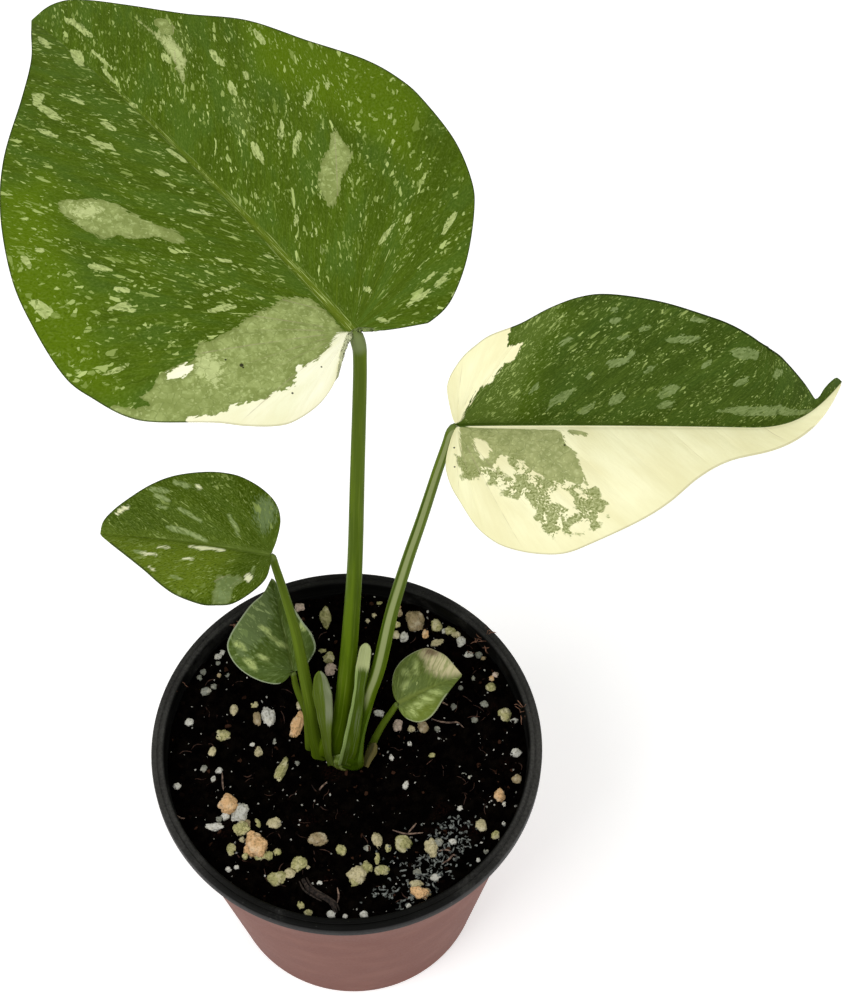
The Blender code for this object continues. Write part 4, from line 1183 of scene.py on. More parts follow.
    def creams(self) -> Socket:
        """Mixes the cream, which is warmer at the margin.

        Returns:
            The colour.
        """
        wear = self.wear
        cream = self.blend(self.step(self.broad, 0.35, 0.65), wear.cream_light, wear.cream)
        cream = self.over(cream, wear.cream_warm, self.step(self.margin, 7.0, 0.0), 0.35)
        return self.over(cream, wear.cream_streak, self.step(self.streaks, 0.44, 0.62), wear.streaked)

    def mossy(self, colour: Source, sage: Source) -> Socket:
        """Lays sage with holes, and clotted green, over the cream.

        Args:
            colour: the skin without them.
            sage: the sage.

        Returns:
            The skin with them.
        """
        wear = self.wear
        hole = self.within(Tone.HOLE, self.ragged, -0.25, 0.25)
        upper = self.within(Tone.SAGE_OVER, self.times(self.ragged, 0.9), -0.15, 0.15)
        colour = self.over(colour, sage, self.without(upper, hole), 0.95)
        clots = self.noise(self.flat, 0.42, 6.0)
        fine = self.noise(self.flat, 2.2, 3.0)
        inside = self.within(Tone.MOSS, self.total(self.times(clots, 7.0), -3.4), -0.4, 0.4)
        clotted = self.step(self.total(clots, self.times(fine, 0.5)), 0.66, 0.72)
        cover = self.times(self.without(inside, hole), clotted)
        tone = self.blend(self.step(fine, 0.36, 0.5), wear.sage_streak, wear.sage_cool)
        colour = self.over(colour, tone, cover, 0.92)
        return self.over(colour, wear.moss, self.step(fine, 0.54, 0.62), cover, 0.75)

    def veined(self, colour: Source, pale_skin: Source) -> Socket:
        """Draws the side veins and the midrib.

        Args:
            colour: the skin without them.
            pale_skin: where the skin is sage or cream.

        Returns:
            The skin with them.
        """
        wear = self.wear
        line = self.step(self.attribute("lateral"), 0.24, 0.08)
        side = self.times(line, self.step(self.margin, 0.8, 5.0), self.step(self.streaks, 0.38, 0.55))
        colour = self.over(colour, wear.midrib, self.without(side, pale_skin), 0.35)
        colour = self.over(colour, wear.cream_vein, side, pale_skin, 0.4)
        strength = self.attribute("rib_strength")
        ribbed = self.maths("DIVIDE", self.attribute("rib"), self.attribute("rib_width"))
        uneven = self.times(self.total(self.streaks, -0.5), wear.rib_ragged)
        inner = self.step(self.total(ribbed, uneven), 1.0 + wear.rib_soft, 1.0 - wear.rib_soft)
        if wear.rib_above:
            inner = self.times(inner, self.step(self.channels(self.uv("leaf"))[1], -0.12, 0.0))
        colour = self.over(colour, wear.midrib, inner, strength, 0.85)
        broken = self.step(self.noise(self.uv("leaf"), (0.13, 4.0), 3.0), 0.55, 0.66)
        near = self.step(ribbed, 2.4, 0.6)
        return self.over(colour, wear.fleck_bright, near, broken, strength, wear.fringe)

    def painted(self, spots: tuple) -> bpy.types.Material:
        """Lays all the paints over each other.

        Args:
            spots: black specks of the leaf.

        Returns:
            The material.
        """
        wear, ragged, soft = self.wear, self.ragged, self.wear.soft
        chips = self.channels(self.cells(self.spot, (1.5, 2.8))["Color"])
        small = self.within(Tone.SPLASH, self.times(ragged, 0.6), -soft, soft)
        solid = self.total(self.times(self.step(chips[0], 0.1, 0.3), 0.55), 0.4)
        colour = self.over(self.greens(), self.blend(chips[1], wear.splash, wear.splash_light), small, solid)
        sage = self.sages()
        depth = self.total(self.attribute(Tone.SAGE.value), ragged)
        large = self.step(depth, -soft, soft)
        colour = self.over(colour, self.over(sage, wear.moss, self.step(depth, 1.2, 0.0), 0.5), large)
        depth = self.total(self.attribute(Tone.CREAM.value), ragged)
        creamy = self.step(depth, -soft * 1.2, soft * 1.2)
        colour = self.over(colour, wear.moss, self.step(depth, -1.4, -0.2), large, 0.4)
        colour = self.mossy(self.over(colour, self.creams(), creamy), sage)
        dried = self.within(Tone.BROWN, self.times(ragged, 1.6), -1.6, 1.4)
        colour = self.over(colour, wear.brown, dried, 0.85)
        colour = self.veined(colour, self.maths("MAXIMUM", creamy, large))
        edge = self.step(self.margin, 0.5, 0.15)
        colour = self.over(colour, wear.edge, self.without(edge, creamy), wear.edge_share)
        colour = self.over(colour, wear.cream_edge, edge, creamy, 0.4)
        for along, away, radius in spots:
            from_spot = self.away(self.uv("leaf"), (along, away, 0.0))
            colour = self.over(colour, wear.speck, self.step(from_spot, radius * 1.3, radius * 0.8), 0.9)
        if self.under:
            colour = self.blend(0.55, colour, wear.underside)
        skin = self.noise(self.spot, (2.2, 3.4), 3.0)
        sunk = self.times(self.step(self.attribute("lateral"), 0.9, 0.0), -0.6)
        rough = self.total(self.times(skin, 0.16), 0.55 if self.under else 0.42)
        height = self.total(self.times(skin, 0.5), sunk, self.streaks)
        return self.finish(colour, rough, self.bump(height, 0.09, 0.6))


@dataclass(frozen=True)
class StalkFinish:
    """Smooth green stalk skin with fine lengthwise streaks."""

    green: str = "#506608"
    deep: str = "#3B5002"
    light: str = "#677728"
    collar: str = "#78835A"  # colour of the joint under the leaf

    def material(self, name: str, spec: StalkSpec, length: float) -> bpy.types.Material:
        """Builds the material of one stalk.

        Args:
            name: name of the material.
            spec: the stalk, for its stripes.
            length: length of the stalk.

        Returns:
            The material.
        """
        graph = Graph(name, roughness=0.36, specular=0.04)
        flat = graph.uv("stalk")
        around, along, _ = graph.channels(flat)
        streaks = graph.noise(flat, (26.0, 0.05))
        broad = graph.noise(flat, (5.0, 0.03), 2.0)
        colour = graph.blend(graph.step(broad, 0.38, 0.62), self.deep, self.green)
        colour = graph.over(colour, self.light, graph.step(streaks, 0.52, 0.74), 0.55)
        colour = graph.over(colour, self.light, graph.step(along, length - 110.0, length), 0.4)
        for band in spec.bands:
            middle = graph.total(graph.times(along, band.lean), band.turn)
            wobble = graph.times(graph.total(streaks, -0.5), band.width * 0.7)
            away = graph.total(graph.maths("ABSOLUTE", graph.minus(around, middle)), wobble)
            ends = graph.times(graph.step(along, band.start, band.start + 6.0),
                               graph.step(along, band.stop, band.stop - 6.0))
            inside = graph.step(away, band.width, band.width * 0.55)
            colour = graph.over(colour, band.colour, inside, ends, 0.85)
        joint = graph.times(graph.step(along, length - spec.collar * 1.3, length - spec.collar * 0.8),
                            graph.step(along, length, length - spec.collar * 0.5))
        colour = graph.over(colour, self.collar, joint, 0.7 if spec.collar > 3.0 else 0.3)
        pores = graph.noise(graph.place(), (2.0, 2.0, 0.6), 3.0)
        colour = graph.over(colour, self.light, graph.step(pores, 0.62, 0.78), 0.25)
        rough = graph.total(graph.times(pores, 0.2), 0.28)
        height = graph.total(streaks, graph.times(pores, 0.3))
        return graph.finish(colour, rough, graph.bump(height, 0.08, 0.6))


@dataclass(frozen=True)
class SheathFinish:
    """Papery leaf base with a translucent edge and fine lengthwise fibres."""

    pale_fibre: str = "#D9DBC4"
    dark_fibre: str = "#4F6420"

    def material(self, name: str, spec: SheathSpec) -> bpy.types.Material:
        """Builds the material of one sheath.

        Args:
            name: name of the material.
            spec: the sheath, for its colours.

        Returns:
            The material.
        """
        graph = Graph(name, roughness=0.42, specular=0.06)
        flat = graph.uv("sheath")
        across, along, _ = graph.channels(flat)
        fibres = graph.noise(flat, (16.0, 0.08))
        length = float(length_along(np.array(spec.path))[-1])
        edge = graph.total(across, graph.times(fibres, 0.2), -0.1)
        wing = graph.step(edge, spec.wing_from, spec.wing_from + 0.12)
        if spec.wing_above:
            start = length * spec.wing_above
            wing = graph.times(wing, graph.step(along, start, start + 5.0))
        colour = graph.blend(wing, spec.body, spec.wing)
        if spec.tip_share:
            start = length * (1.0 - spec.tip_share)
            ragged = graph.total(along, graph.times(fibres, 3.0), -1.5)
            colour = graph.over(colour, spec.tip, graph.step(ragged, start, start + 3.0))
        colour = graph.over(colour, self.pale_fibre, graph.step(fibres, 0.5, 0.7), 0.1)
        colour = graph.over(colour, self.dark_fibre, graph.step(fibres, 0.45, 0.3), 0.3)
        return graph.finish(colour, normal=graph.bump(fibres, 0.1, 0.7))


@dataclass(frozen=True)
class CrownFinish:
    """Skin of the short stem: pale green with darker rings, brownish where it meets the peat."""

    green: str = "#56681E"
    pale: str = "#7E8F4C"
    ring: str = "#6B6438"
    foot: str = "#33260F"

    def material(self) -> bpy.types.Material:
        """Builds the material.

        Returns:
            The material.
        """
        graph = Graph("crown_skin", roughness=0.42, specular=0.16)
        spot = graph.place()
        streaks = graph.noise(spot, (1.4, 1.4, 0.25))
        rings = graph.noise(spot, (0.1, 0.1, 1.3), 2.0)
        colour = graph.blend(graph.step(streaks, 0.4, 0.66), self.green, self.pale)
        colour = graph.over(colour, self.ring, graph.step(rings, 0.55, 0.7), 0.35)
        height = graph.total(graph.channels(spot)[2], streaks)
        colour = graph.over(colour, self.foot, graph.step(height, 81.2, 79.4))
        return graph.finish(colour, normal=graph.bump(graph.total(streaks, rings), 0.15, 0.7))


@dataclass(frozen=True)
class PlasticFinish:
    """Thin injection-moulded plastic of the pot."""

    base: str
    worn: str  # faint scuffs
    dust: str  # dust and dried soil
    dust_share: float  # how much of the surface is dusty
    lines: float  # how strongly the turned lines show
    specular: float = 0.12
    crest_dust_and_sheen: float = 0.0  # how greyed the crest of the rim is by dust and a painted sheen, less so in front and at the back

    def material(self, name: str) -> bpy.types.Material:
        """Builds the material.

        Args:
            name: name of the material.

        Returns:
            The material.
        """
        graph = Graph(name, roughness=0.5, specular=self.specular)
        spot = graph.place()
        radius = graph.away(graph.scaled(spot, (1.0, 1.0, 0.0)))
        _, depth, height = graph.channels(spot)
        rings = graph.node("CombineXYZ", {0: graph.times(radius, 2.6), 1: graph.times(height, 0.9)})[0]
        turned = graph.noise(rings, 1.0, 2.0)
        cloud = graph.noise(spot, (0.09, 0.09, 0.14))
        fine = graph.noise(spot, 1.6)
        colour = graph.blend(graph.step(cloud, 0.35, 0.7), self.base, self.worn)
        colour = graph.over(colour, self.dust, graph.step(turned, 0.55, 0.8), self.lines)
        specks = graph.dots(spot, 0.45, 0.16, (-0.01, 0.02), (1.0 - self.dust_share, 1.0))
        colour = graph.over(colour, self.dust, specks, 0.7)
        smear = graph.step(graph.total(cloud, graph.times(fine, 0.35)), 0.72, 0.9)
        colour = graph.over(colour, self.dust, smear, 0.25)
        # Dust and a painted sheen on the crest of the rim, on its left and right sides more than in front and
        # at the back
        upper = graph.step(height, POT_HEIGHT - 1.2, POT_HEIGHT - 0.3)
        crest = graph.times(upper, graph.step(radius, 46.7, 47.4))
        sides = graph.times(graph.step(depth, -50.0, -12.0), graph.step(depth, 70.0, 0.0))
        patchy = graph.step(graph.total(fine, graph.times(cloud, 0.6)), 0.6, 1.0)
        patchy = graph.total(graph.times(patchy, 0.45), 0.5)
        colour = graph.over(colour, self.dust, crest, sides, patchy, self.crest_dust_and_sheen)
        rough = graph.total(graph.times(fine, 0.25), 0.36)
        return graph.finish(colour, rough, graph.bump(graph.total(fine, graph.times(turned, 2.0)), 0.05, 0.5))


@dataclass(frozen=True)
class PeatFinish:
    """Damp black peat with brown fibres and tiny pale specks."""

    black: str = "#020101"
    damp: str = "#090604"
    reddish: str = "#1F0F0A"
    crumb: str = "#130B07"
    husk: str = "#38241A"
    speck: str = "#77746A"

    def material(self, name: str, crumbs: bool) -> bpy.types.Material:
        """Builds the material.

        Args:
            name: name of the material.
            crumbs: the loose crumbs, which carry a random tint each.

        Returns:
            The material.
        """
        graph = Graph(name, roughness=0.95, specular=0.01)
        spot = graph.place()
        lumps = graph.noise(spot, 0.35)
        fine = graph.noise(spot, 1.8)
        colour = graph.blend(graph.step(lumps, 0.42, 0.7), self.black, self.damp)
        patch = graph.step(graph.noise(spot, (0.12, 0.16, 0.2), 3.0), 0.56, 0.72)
        colour = graph.over(colour, self.reddish, patch, graph.step(fine, 0.4, 0.7), 0.5)
        if crumbs:
            tint = graph.attribute("tint")
            colour = graph.over(colour, self.crumb, graph.step(tint, 0.6, 1.0), 0.5)
            colour = graph.over(colour, self.husk, graph.step(tint, 0.97, 0.985))
        specks = graph.dots(spot, 0.9, 0.22, (-0.02, 0.03), (0.95, 0.97))
        colour = graph.over(colour, self.speck, specks, 0.7)
        return graph.finish(colour, normal=graph.bump(graph.total(fine, lumps), 0.5, 0.9))


@dataclass(frozen=True)
class GrainFinish:
    """Rough pumice and perlite, with green film in the hollows of some grains, and painted shade on their
    lower sides.
    """

    pit: str = "#4A4028"
    pale: str = "#E0DAC0"
    # painted shade of a grain's lower side
    shaded: str = "#2B2419"
    film: str = "#5F6C1B"

    def material(self) -> bpy.types.Material:
        """Builds the material.

        Returns:
            The material.
        """
        graph = Graph("grain_stone", roughness=0.85, specular=0.12)
        spot = graph.place()
        pits = graph.noise(spot, 1.7)
        broad = graph.noise(spot, 0.45, 3.0)
        colour = graph.over(graph.attribute("tint", "Color"), self.pit, graph.step(pits, 0.5, 0.34), 0.4)
        colour = graph.over(colour, self.pale, graph.step(broad, 0.5, 0.68), 0.3)
        # Painted shade: each grain darkens towards its lower side, by its height
        side = graph.step(graph.total(graph.attribute("height"), graph.times(pits, 0.6)), 1.0, 0.35)
        colour = graph.over(colour, self.shaded, side, 0.7)
        # The green film is real algae; laying it more on the lower sides is partly painted shade
        hollow = graph.step(graph.total(pits, broad), 1.1, 0.9)
        lower = graph.total(graph.times(side, 0.7), 0.35)
        colour = graph.over(colour, self.film, graph.attribute("algae"), hollow, lower, 0.9)
        return graph.finish(colour, normal=graph.bump(pits, 0.4, 0.8))


@dataclass(frozen=True)
class FibreFinish:
    """Dry roots and coir."""

    dark: str
    light: str

    def material(self, name: str) -> bpy.types.Material:
        """Builds the material.

        Args:
            name: name of the material.

        Returns:
            The material.
        """
        graph = Graph(name, roughness=0.8, specular=0.2)
        bark = graph.noise(graph.place(), 1.2)
        colour = graph.blend(graph.step(bark, 0.35, 0.65), self.dark, self.light)
        return graph.finish(colour, normal=graph.bump(bark, 0.2, 0.8))


class LeafSurface:
    """The curved sheet of one leaf: a bent midrib with two folded, curling halves."""

    def __init__(self, spec: LeafSpec) -> None:
        """Lays out the midrib of a leaf.

        Args:
            spec: the leaf.
        """
        self.spec = spec
        self.run = np.linspace(0.0, spec.length * 1.06, 240)
        part = self.run / spec.length
        hook, turn, start = spec.hook
        late = smooth_step((part - start) / (1.0 - start))
        slope = np.radians(spec.rise - spec.droop * part + hook * late)
        heading = np.radians(spec.heading + turn * late)
        level = np.cos(slope)
        self.along = np.stack([level * np.cos(heading), level * np.sin(heading), np.sin(slope)], axis=1)
        steps = (self.along[1:] + self.along[:-1]) / 2.0 * np.diff(self.run)[:, None]
        self.line = np.array(spec.base) + np.vstack([np.zeros(3), np.cumsum(steps, axis=0)])

    def place(self, along: np.ndarray, away: np.ndarray) -> np.ndarray:
        """Finds places of the flat leaf in space.

        Args:
            along: distances along the midrib.
            away: distances from it, positive on the left half.

        Returns:
            (n, 3) array.
        """
        spec = self.spec
        held = np.clip(along, 0.0, self.run[-1])
        point = np.stack([np.interp(held, self.run, self.line[:, k]) for k in range(3)], axis=1)
        ahead = np.stack([np.interp(held, self.run, self.along[:, k]) for k in range(3)], axis=1)
        ahead /= np.linalg.norm(ahead, axis=1)[:, None]
        point = point + ahead * (along - held)[:, None]
        side = np.cross((0.0, 0.0, 1.0), ahead)
        side /= np.linalg.norm(side, axis=1)[:, None]
        normal = np.cross(ahead, side)
        roll = math.radians(spec.roll)
        flank = side * math.cos(roll) + normal * math.sin(roll)
        normal = normal * math.cos(roll) - side * math.sin(roll)
        left = away >= 0
        fold = np.radians(np.where(left, spec.fold[0], spec.fold[1]))
        bend = (np.radians(np.where(left, spec.curl[0], spec.curl[1])) - fold) / spec.span
        bend = np.where(np.abs(bend) < 1e-6, 1e-6, bend)
        end = fold + bend * np.abs(away)
        out = (np.sin(end) - np.sin(fold)) / bend
        up = (np.cos(fold) - np.cos(end)) / bend
        return point + flank * (np.where(left, 1.0, -1.0) * out)[:, None] + normal * up[:, None]

    def vein_edges(self, rows: int) -> tuple:
        """Finds where the veins end on both margins.

        Args:
            rows: number of stretches along the margin.

        Returns:
            Margin places of the left and right half, and where each vein leaves the midrib.
        """
        spec, count = self.spec, 500
        lines = [rounded_line(np.reshape(outline, (-1, 2)), count) for outline in (spec.left, spec.right)]
        starts = [np.maximum(0.0, line[:, 0] - spec.vein * line[:, 1]) for line in lines]
        starts = [np.maximum.accumulate(start) for start in starts]
        turns = [int(np.argmax(start > 1e-6)) - 1 for start in starts]
        fan = int(rows * sum(turns) / (2 * count))
        part = np.linspace(0.0, 1.0, rows - fan + 1)
        steps = range(count + 1)
        both = [np.interp(turn + part * (count - turn), steps, start) for start, turn in zip(starts, turns)]
        paired = np.mean(both, axis=0)
        halves = []
        for line, start, turn in zip(lines, starts, turns):
            late = np.interp(paired[1:], start[turn:], steps[turn:])
            at = np.concatenate([np.linspace(0.0, turn, fan + 1), late])
            halves.append(np.stack([np.interp(at, steps, line[:, k]) for k in (0, 1)], axis=1))
        return halves, np.concatenate([np.zeros(fan), paired])


@dataclass
class LeafBlade:
    """One leaf blade with its marbled skin."""

    name: str
    spec: LeafSpec
    wear: LeafFinish
    thickness: float = 0.42
    groove: float = 0.13  # how deep the side veins lie
    rib_groove: float = 0.3  # how deep the midrib lies

    def half_grid(self, edges: np.ndarray, starts: np.ndarray) -> tuple:
        """Lays rows along the veins of one half.

        Args:
            edges: where the veins end.
            starts: where they leave the midrib.

        Returns:
            Distances along and away as two (rows + 1, columns + 1) arrays.
        """
        part = np.linspace(0.0, 1.0, self.spec.grid[1] + 1)[None, :]
        start = starts[:, None]
        along, away = edges[:, :1], edges[:, 1:]
        bend = start + VEIN_BEND[0] * (along - start)
        rest = 1.0 - part
        along = rest**2 * start + 2 * rest * part * bend + part**2 * along
        return along, np.maximum(2 * rest * part * VEIN_BEND[1] * away + part**2 * away, 0.0)

    def fields(self, flat: np.ndarray) -> dict:
        """Measures every point against the leaf's markings.

        Args:
            flat: (n, 2) places in the flat leaf.

        Returns:
            One array for each tone.
        """
        shapes = [(tone, shape) for tone, group in self.spec.patches.items() for shape in group]
        depths = [(tone, outline_distance(flat, shape)) for tone, shape in shapes]
        for tone, strokes in ((Tone.SPLASH, self.spec.strokes), (Tone.CREAM, self.spec.whites)):
            depths += [(tone, stroke_distance(flat, stroke) + 0.12) for stroke in strokes]
        result = {tone: np.full(len(flat), -FIELD_REACH) for tone in Tone}
        for tone, depth in depths:
            result[tone] = np.maximum(result[tone], np.minimum(depth, FIELD_REACH))
        return result

    def sheet(self) -> bpy.types.Mesh:
        """Makes the upper face of the leaf, with the numbers that its skin reads.

        Returns:
            The mesh.
        """
        spec, surface = self.spec, LeafSurface(self.spec)
        rows, columns = spec.grid
        halves, starts = surface.vein_edges(rows)
        flats, veins, laterals, margins, faces = [], [], [], [], []
        for sign, edges in zip((1.0, -1.0), halves):
            along, away = self.half_grid(edges, starts)
            step = np.hypot(np.diff(along, axis=1), np.diff(away, axis=1))
            run = np.concatenate([np.zeros((rows + 1, 1)), np.cumsum(step, axis=1)], axis=1)
            gap = np.hypot(np.gradient(along, axis=0), np.gradient(away, axis=0))
            across = np.concatenate([[0.0], np.cumsum(gap[1:, int(columns * 0.55)])])
            phase = np.arange(rows + 1) / rows * spec.veins
            off = np.abs(phase - np.round(phase))[:, None] * gap * rows / spec.veins
            lane = np.broadcast_to((across * sign)[:, None], run.shape)
            short = np.maximum(0.0, 5.0 - run[:, -1:])
            ring = grid_faces(rows + 1, columns + 1, len(flats) * (rows + 1) * (columns + 1))
            flats.append(np.stack([along.ravel(), (sign * away).ravel()], axis=1))
            veins.append(np.stack([run.ravel(), lane.ravel()], axis=1))
            laterals.append(off.ravel())
            margins.append((run[:, -1:] - run + short).ravel())
            faces.append(ring[:, ::-1] if sign > 0 else ring)
        flat = np.concatenate(flats)
        mesh = mesh_from(self.name + "_leaf", surface.place(flat[:, 0], flat[:, 1]), np.concatenate(faces))
        set_uv(mesh, "leaf", flat)
        set_uv(mesh, "vein", np.concatenate(veins))
        reach, rib = np.hypot(flat[:, 0], flat[:, 1]), np.abs(flat[:, 1])
        from_base = smooth_step((reach - 2.0) / 5.0)
        lateral, margin = np.concatenate(laterals) + 2.0 * (1.0 - from_base), np.concatenate(margins)
        left_over = np.clip(1.0 - flat[:, 0] / spec.length, 0.0, 1.0)
        relief = -self.groove * np.exp(-((lateral / 0.8) ** 2))
        relief *= smooth_step(margin / 6.0) * smooth_step(rib / 4.0)
        sunk = np.exp(-((rib / (0.25 + spec.rib * 0.5 * left_over)) ** 2)) * left_over**0.6 * from_base
        fade = np.clip(1.0 - rib / 2.4, 0.0, 1.0) * left_over**0.7 * smooth_step(reach / 6.0)
        stored = {
            "lateral": lateral,
            "margin": margin,
            "rib": rib,
            "rib_width": 0.15 + spec.rib * 0.42 * left_over**1.1,
            "rib_strength": np.clip(1.0 - flat[:, 0] / (spec.length * 0.8), 0.0, 1.0) ** 0.6,
            "relief": relief - self.rib_groove * sunk,
            "thick": self.thickness + (spec.rib - self.thickness) * fade,
        }
        stored.update({tone.value: depth for tone, depth in self.fields(flat).items()})
        for name, values in stored.items():
            set_attribute(mesh, name, values)
        return mesh

    def build(self) -> list:
        """Makes the leaf: a sheet with sunk veins that is thickest at the midrib.

        Returns:
            The finished object, as a list.
        """
        mesh = self.sheet()
        sheet = bmesh.new()
        sheet.from_mesh(mesh)
        bmesh.ops.remove_doubles(sheet, verts=sheet.verts, dist=0.02 * MM)
        sheet.normal_update()
        relief = sheet.verts.layers.float["relief"]
        for vertex in sheet.verts:
            vertex.co += vertex.normal * vertex[relief] * MM
        sheet.to_mesh(mesh)
        sheet.free()
        for ending, under in (("_leaf_top", False), ("_leaf_under", True)):
            mesh.materials.append(LeafSkin(self.name + ending, self.wear, under).painted(self.spec.spots))
        item = new_object(self.name + "_leaf", mesh)
        group = item.vertex_groups.new(name="rib")
        for index, value in enumerate(mesh.attributes["thick"].data):
            group.add([index], value.value / self.spec.rib, "REPLACE")
        item = thickened(item, self.spec.rib, vertex_group="rib", material_offset=1)
        item.vertex_groups.clear()
        return [hand_over(item, "leaf", "blade_" + self.name)]


@dataclass
class Stalk:
    """One leaf stalk: a tube with a shallow channel, a wide foot and a pale joint."""

    name: str
    spec: StalkSpec
    finish: StalkFinish = StalkFinish()
    rings: int = 130
    sides: int = 40
    channel: float = 0.1  # depth of the channel as a part of the radius

    def build(self) -> list:
        """Makes the stalk, ring by ring.

        Returns:
            The finished object, as a list.
        """
        spec, count = self.spec, self.sides + 1
        line = rounded_line(spec.path, self.rings)
        run = length_along(line)
        part = run / run[-1]
        swell = np.exp(-(((run[-1] - run - spec.collar * 0.6) / (spec.collar * 0.55)) ** 2))
        last = np.clip((run[-1] - run) / spec.radii[2], 0.04, 1.0)
        radius = np.interp(part, (0.0, 0.5, 1.0), spec.radii) * (1.0 + 0.1 * swell)
        radius *= np.sqrt(last * (2.0 - last))
        angle = np.linspace(0.0, 2 * math.pi, count) + math.pi
        ripple = 1.0 + 0.012 * np.sin(7.0 * angle) + 0.008 * np.sin(13.0 * angle + 1.0)
        hollow = np.exp(-(((angle - 2 * math.pi + 0.5) / 0.3) ** 2))
        points, flat = [], []
        for index, centre in enumerate(line):
            ahead, front = axes_at(line, index, (0.0, -1.0, 0.0))
            wide = 1.0 + spec.flare * (1.0 - smooth_step(run[index] / spec.flare_height))
            reach = radius[index] * (1.0 - self.channel * (1.0 - 0.5 * part[index]) * hollow) * ripple
            side = np.cross(ahead, front) * wide
            across = np.outer(np.cos(angle) * reach, front)
            points.append(centre + across + np.outer(np.sin(angle) * reach, side))
            flat.append(np.stack([np.linspace(0.0, 1.0, count), np.full(count, run[index])], axis=1))
        first, top = range(count - 1), self.rings * count
        faces = [*grid_faces(len(line), count), first[::-1], [top + corner for corner in first]]
        mesh = mesh_from(self.name + "_stalk", np.concatenate(points), faces)
        set_uv(mesh, "stalk", np.concatenate(flat))
        turned_outwards(mesh, 0.002)
        mesh.materials.append(self.finish.material(self.name + "_stalk_skin", spec, float(run[-1])))
        return [hand_over(new_object(self.name + "_stalk", mesh), "stalk", "petiole_" + self.name)]


@dataclass
class Sheath:
    """A thin leaf base that stands beside the stalks."""

    name: str
    spec: SheathSpec
    finish: SheathFinish = SheathFinish()
    rows: int = 70
    columns: int = 22
    thickness: float = 0.4

    def build(self) -> list:
        """Makes the sheath, row by row.

        Returns:
            The finished object, as a list.
        """
        spec, count = self.spec, self.columns + 1
        line = rounded_line(spec.path, self.rows)
        run = length_along(line)
        widths = np.interp(run / run[-1], np.linspace(0, 1, len(spec.half_widths)), spec.half_widths)
        tip = np.clip((run[-1] - run) / (widths.max() * 1.1), 0.0, 1.0)
        widths = widths * np.sqrt(np.clip(1.0 - (1.0 - tip) ** 2, 0.02, 1.0))
        across = np.linspace(-1.0, 1.0, count)
        points, flat = [], []
        for index, (centre, width) in enumerate(zip(line, widths)):
            ahead, side = axes_at(line, index, (1.0, 0.0, 0.0))
            lift = width * (spec.cup * across**2 + 0.06 * np.sin(run[index] * 0.9 + across * 2.0))
            points.append(centre + np.outer(across * width, side) + np.outer(lift, np.cross(side, ahead)))
            flat.append(np.stack([(across + 1.0) / 2.0, np.full(count, run[index])], axis=1))
        mesh = mesh_from(self.name + "_sheath", np.concatenate(points), grid_faces(len(line), count))
        set_uv(mesh, "sheath", np.concatenate(flat))
        mesh.materials.append(self.finish.material(self.name + "_sheath_skin", spec))
        item = thickened(new_object(self.name + "_sheath", mesh), self.thickness)
        return [hand_over(item, "sheath", "sheath_" + self.name)]


def turned(name: str, profile: Sequence, centre: tuple, steps: int, slots: Sequence[int]) -> bpy.types.Mesh:
    """Turns a profile round a vertical axis.

    Args:
        name: name of the mesh.
        profile: (radius, height) points that start and end on the axis.
        centre: where the axis stands.
        steps: number of steps round.
        slots: material slot of each stretch of the profile.

    Returns:
        The closed mesh.
    """
    angle = np.linspace(0.0, 2 * math.pi, steps, endpoint=False)
    points, rings = [], []
    for radius, height in profile:
        round_axis = angle if radius > 1e-6 else angle[:1]
        rings.append([len(points) + k % len(round_axis) for k in range(steps)])
        for turn in round_axis:
            points.append((centre[0] + radius * math.cos(turn), centre[1] + radius * math.sin(turn), height))
    faces, chosen = [], []
    for lower, upper, slot in zip(rings, rings[1:], slots):
        for k in range(steps):
            after = (k + 1) % steps
            face = list(dict.fromkeys((lower[k], lower[after], upper[after], upper[k])))
            if len(face) > 2:
                faces.append(face)
                chosen.append(slot)
    mesh = mesh_from(name, points, faces)
    mesh.polygons.foreach_set("material_index", chosen)
    turned_outwards(mesh)
    mesh.set_sharp_from_angle(angle=math.radians(40.0))
    return mesh


def arc(centre: tuple, radius: float, start: float, stop: float, count: int = 5) -> list:
    """Rounds a corner of a profile.

    Args:
        centre: middle of the rounding.
        radius: its radius.
        start: first angle in degrees.
        stop: last angle in degrees.
        count: number of stretches.

    Returns:
        Places along it.
    """
    turns = np.radians(np.linspace(start, stop, count + 1))
    return [(centre[0] + radius * math.cos(t), centre[1] + radius * math.sin(t)) for t in turns]


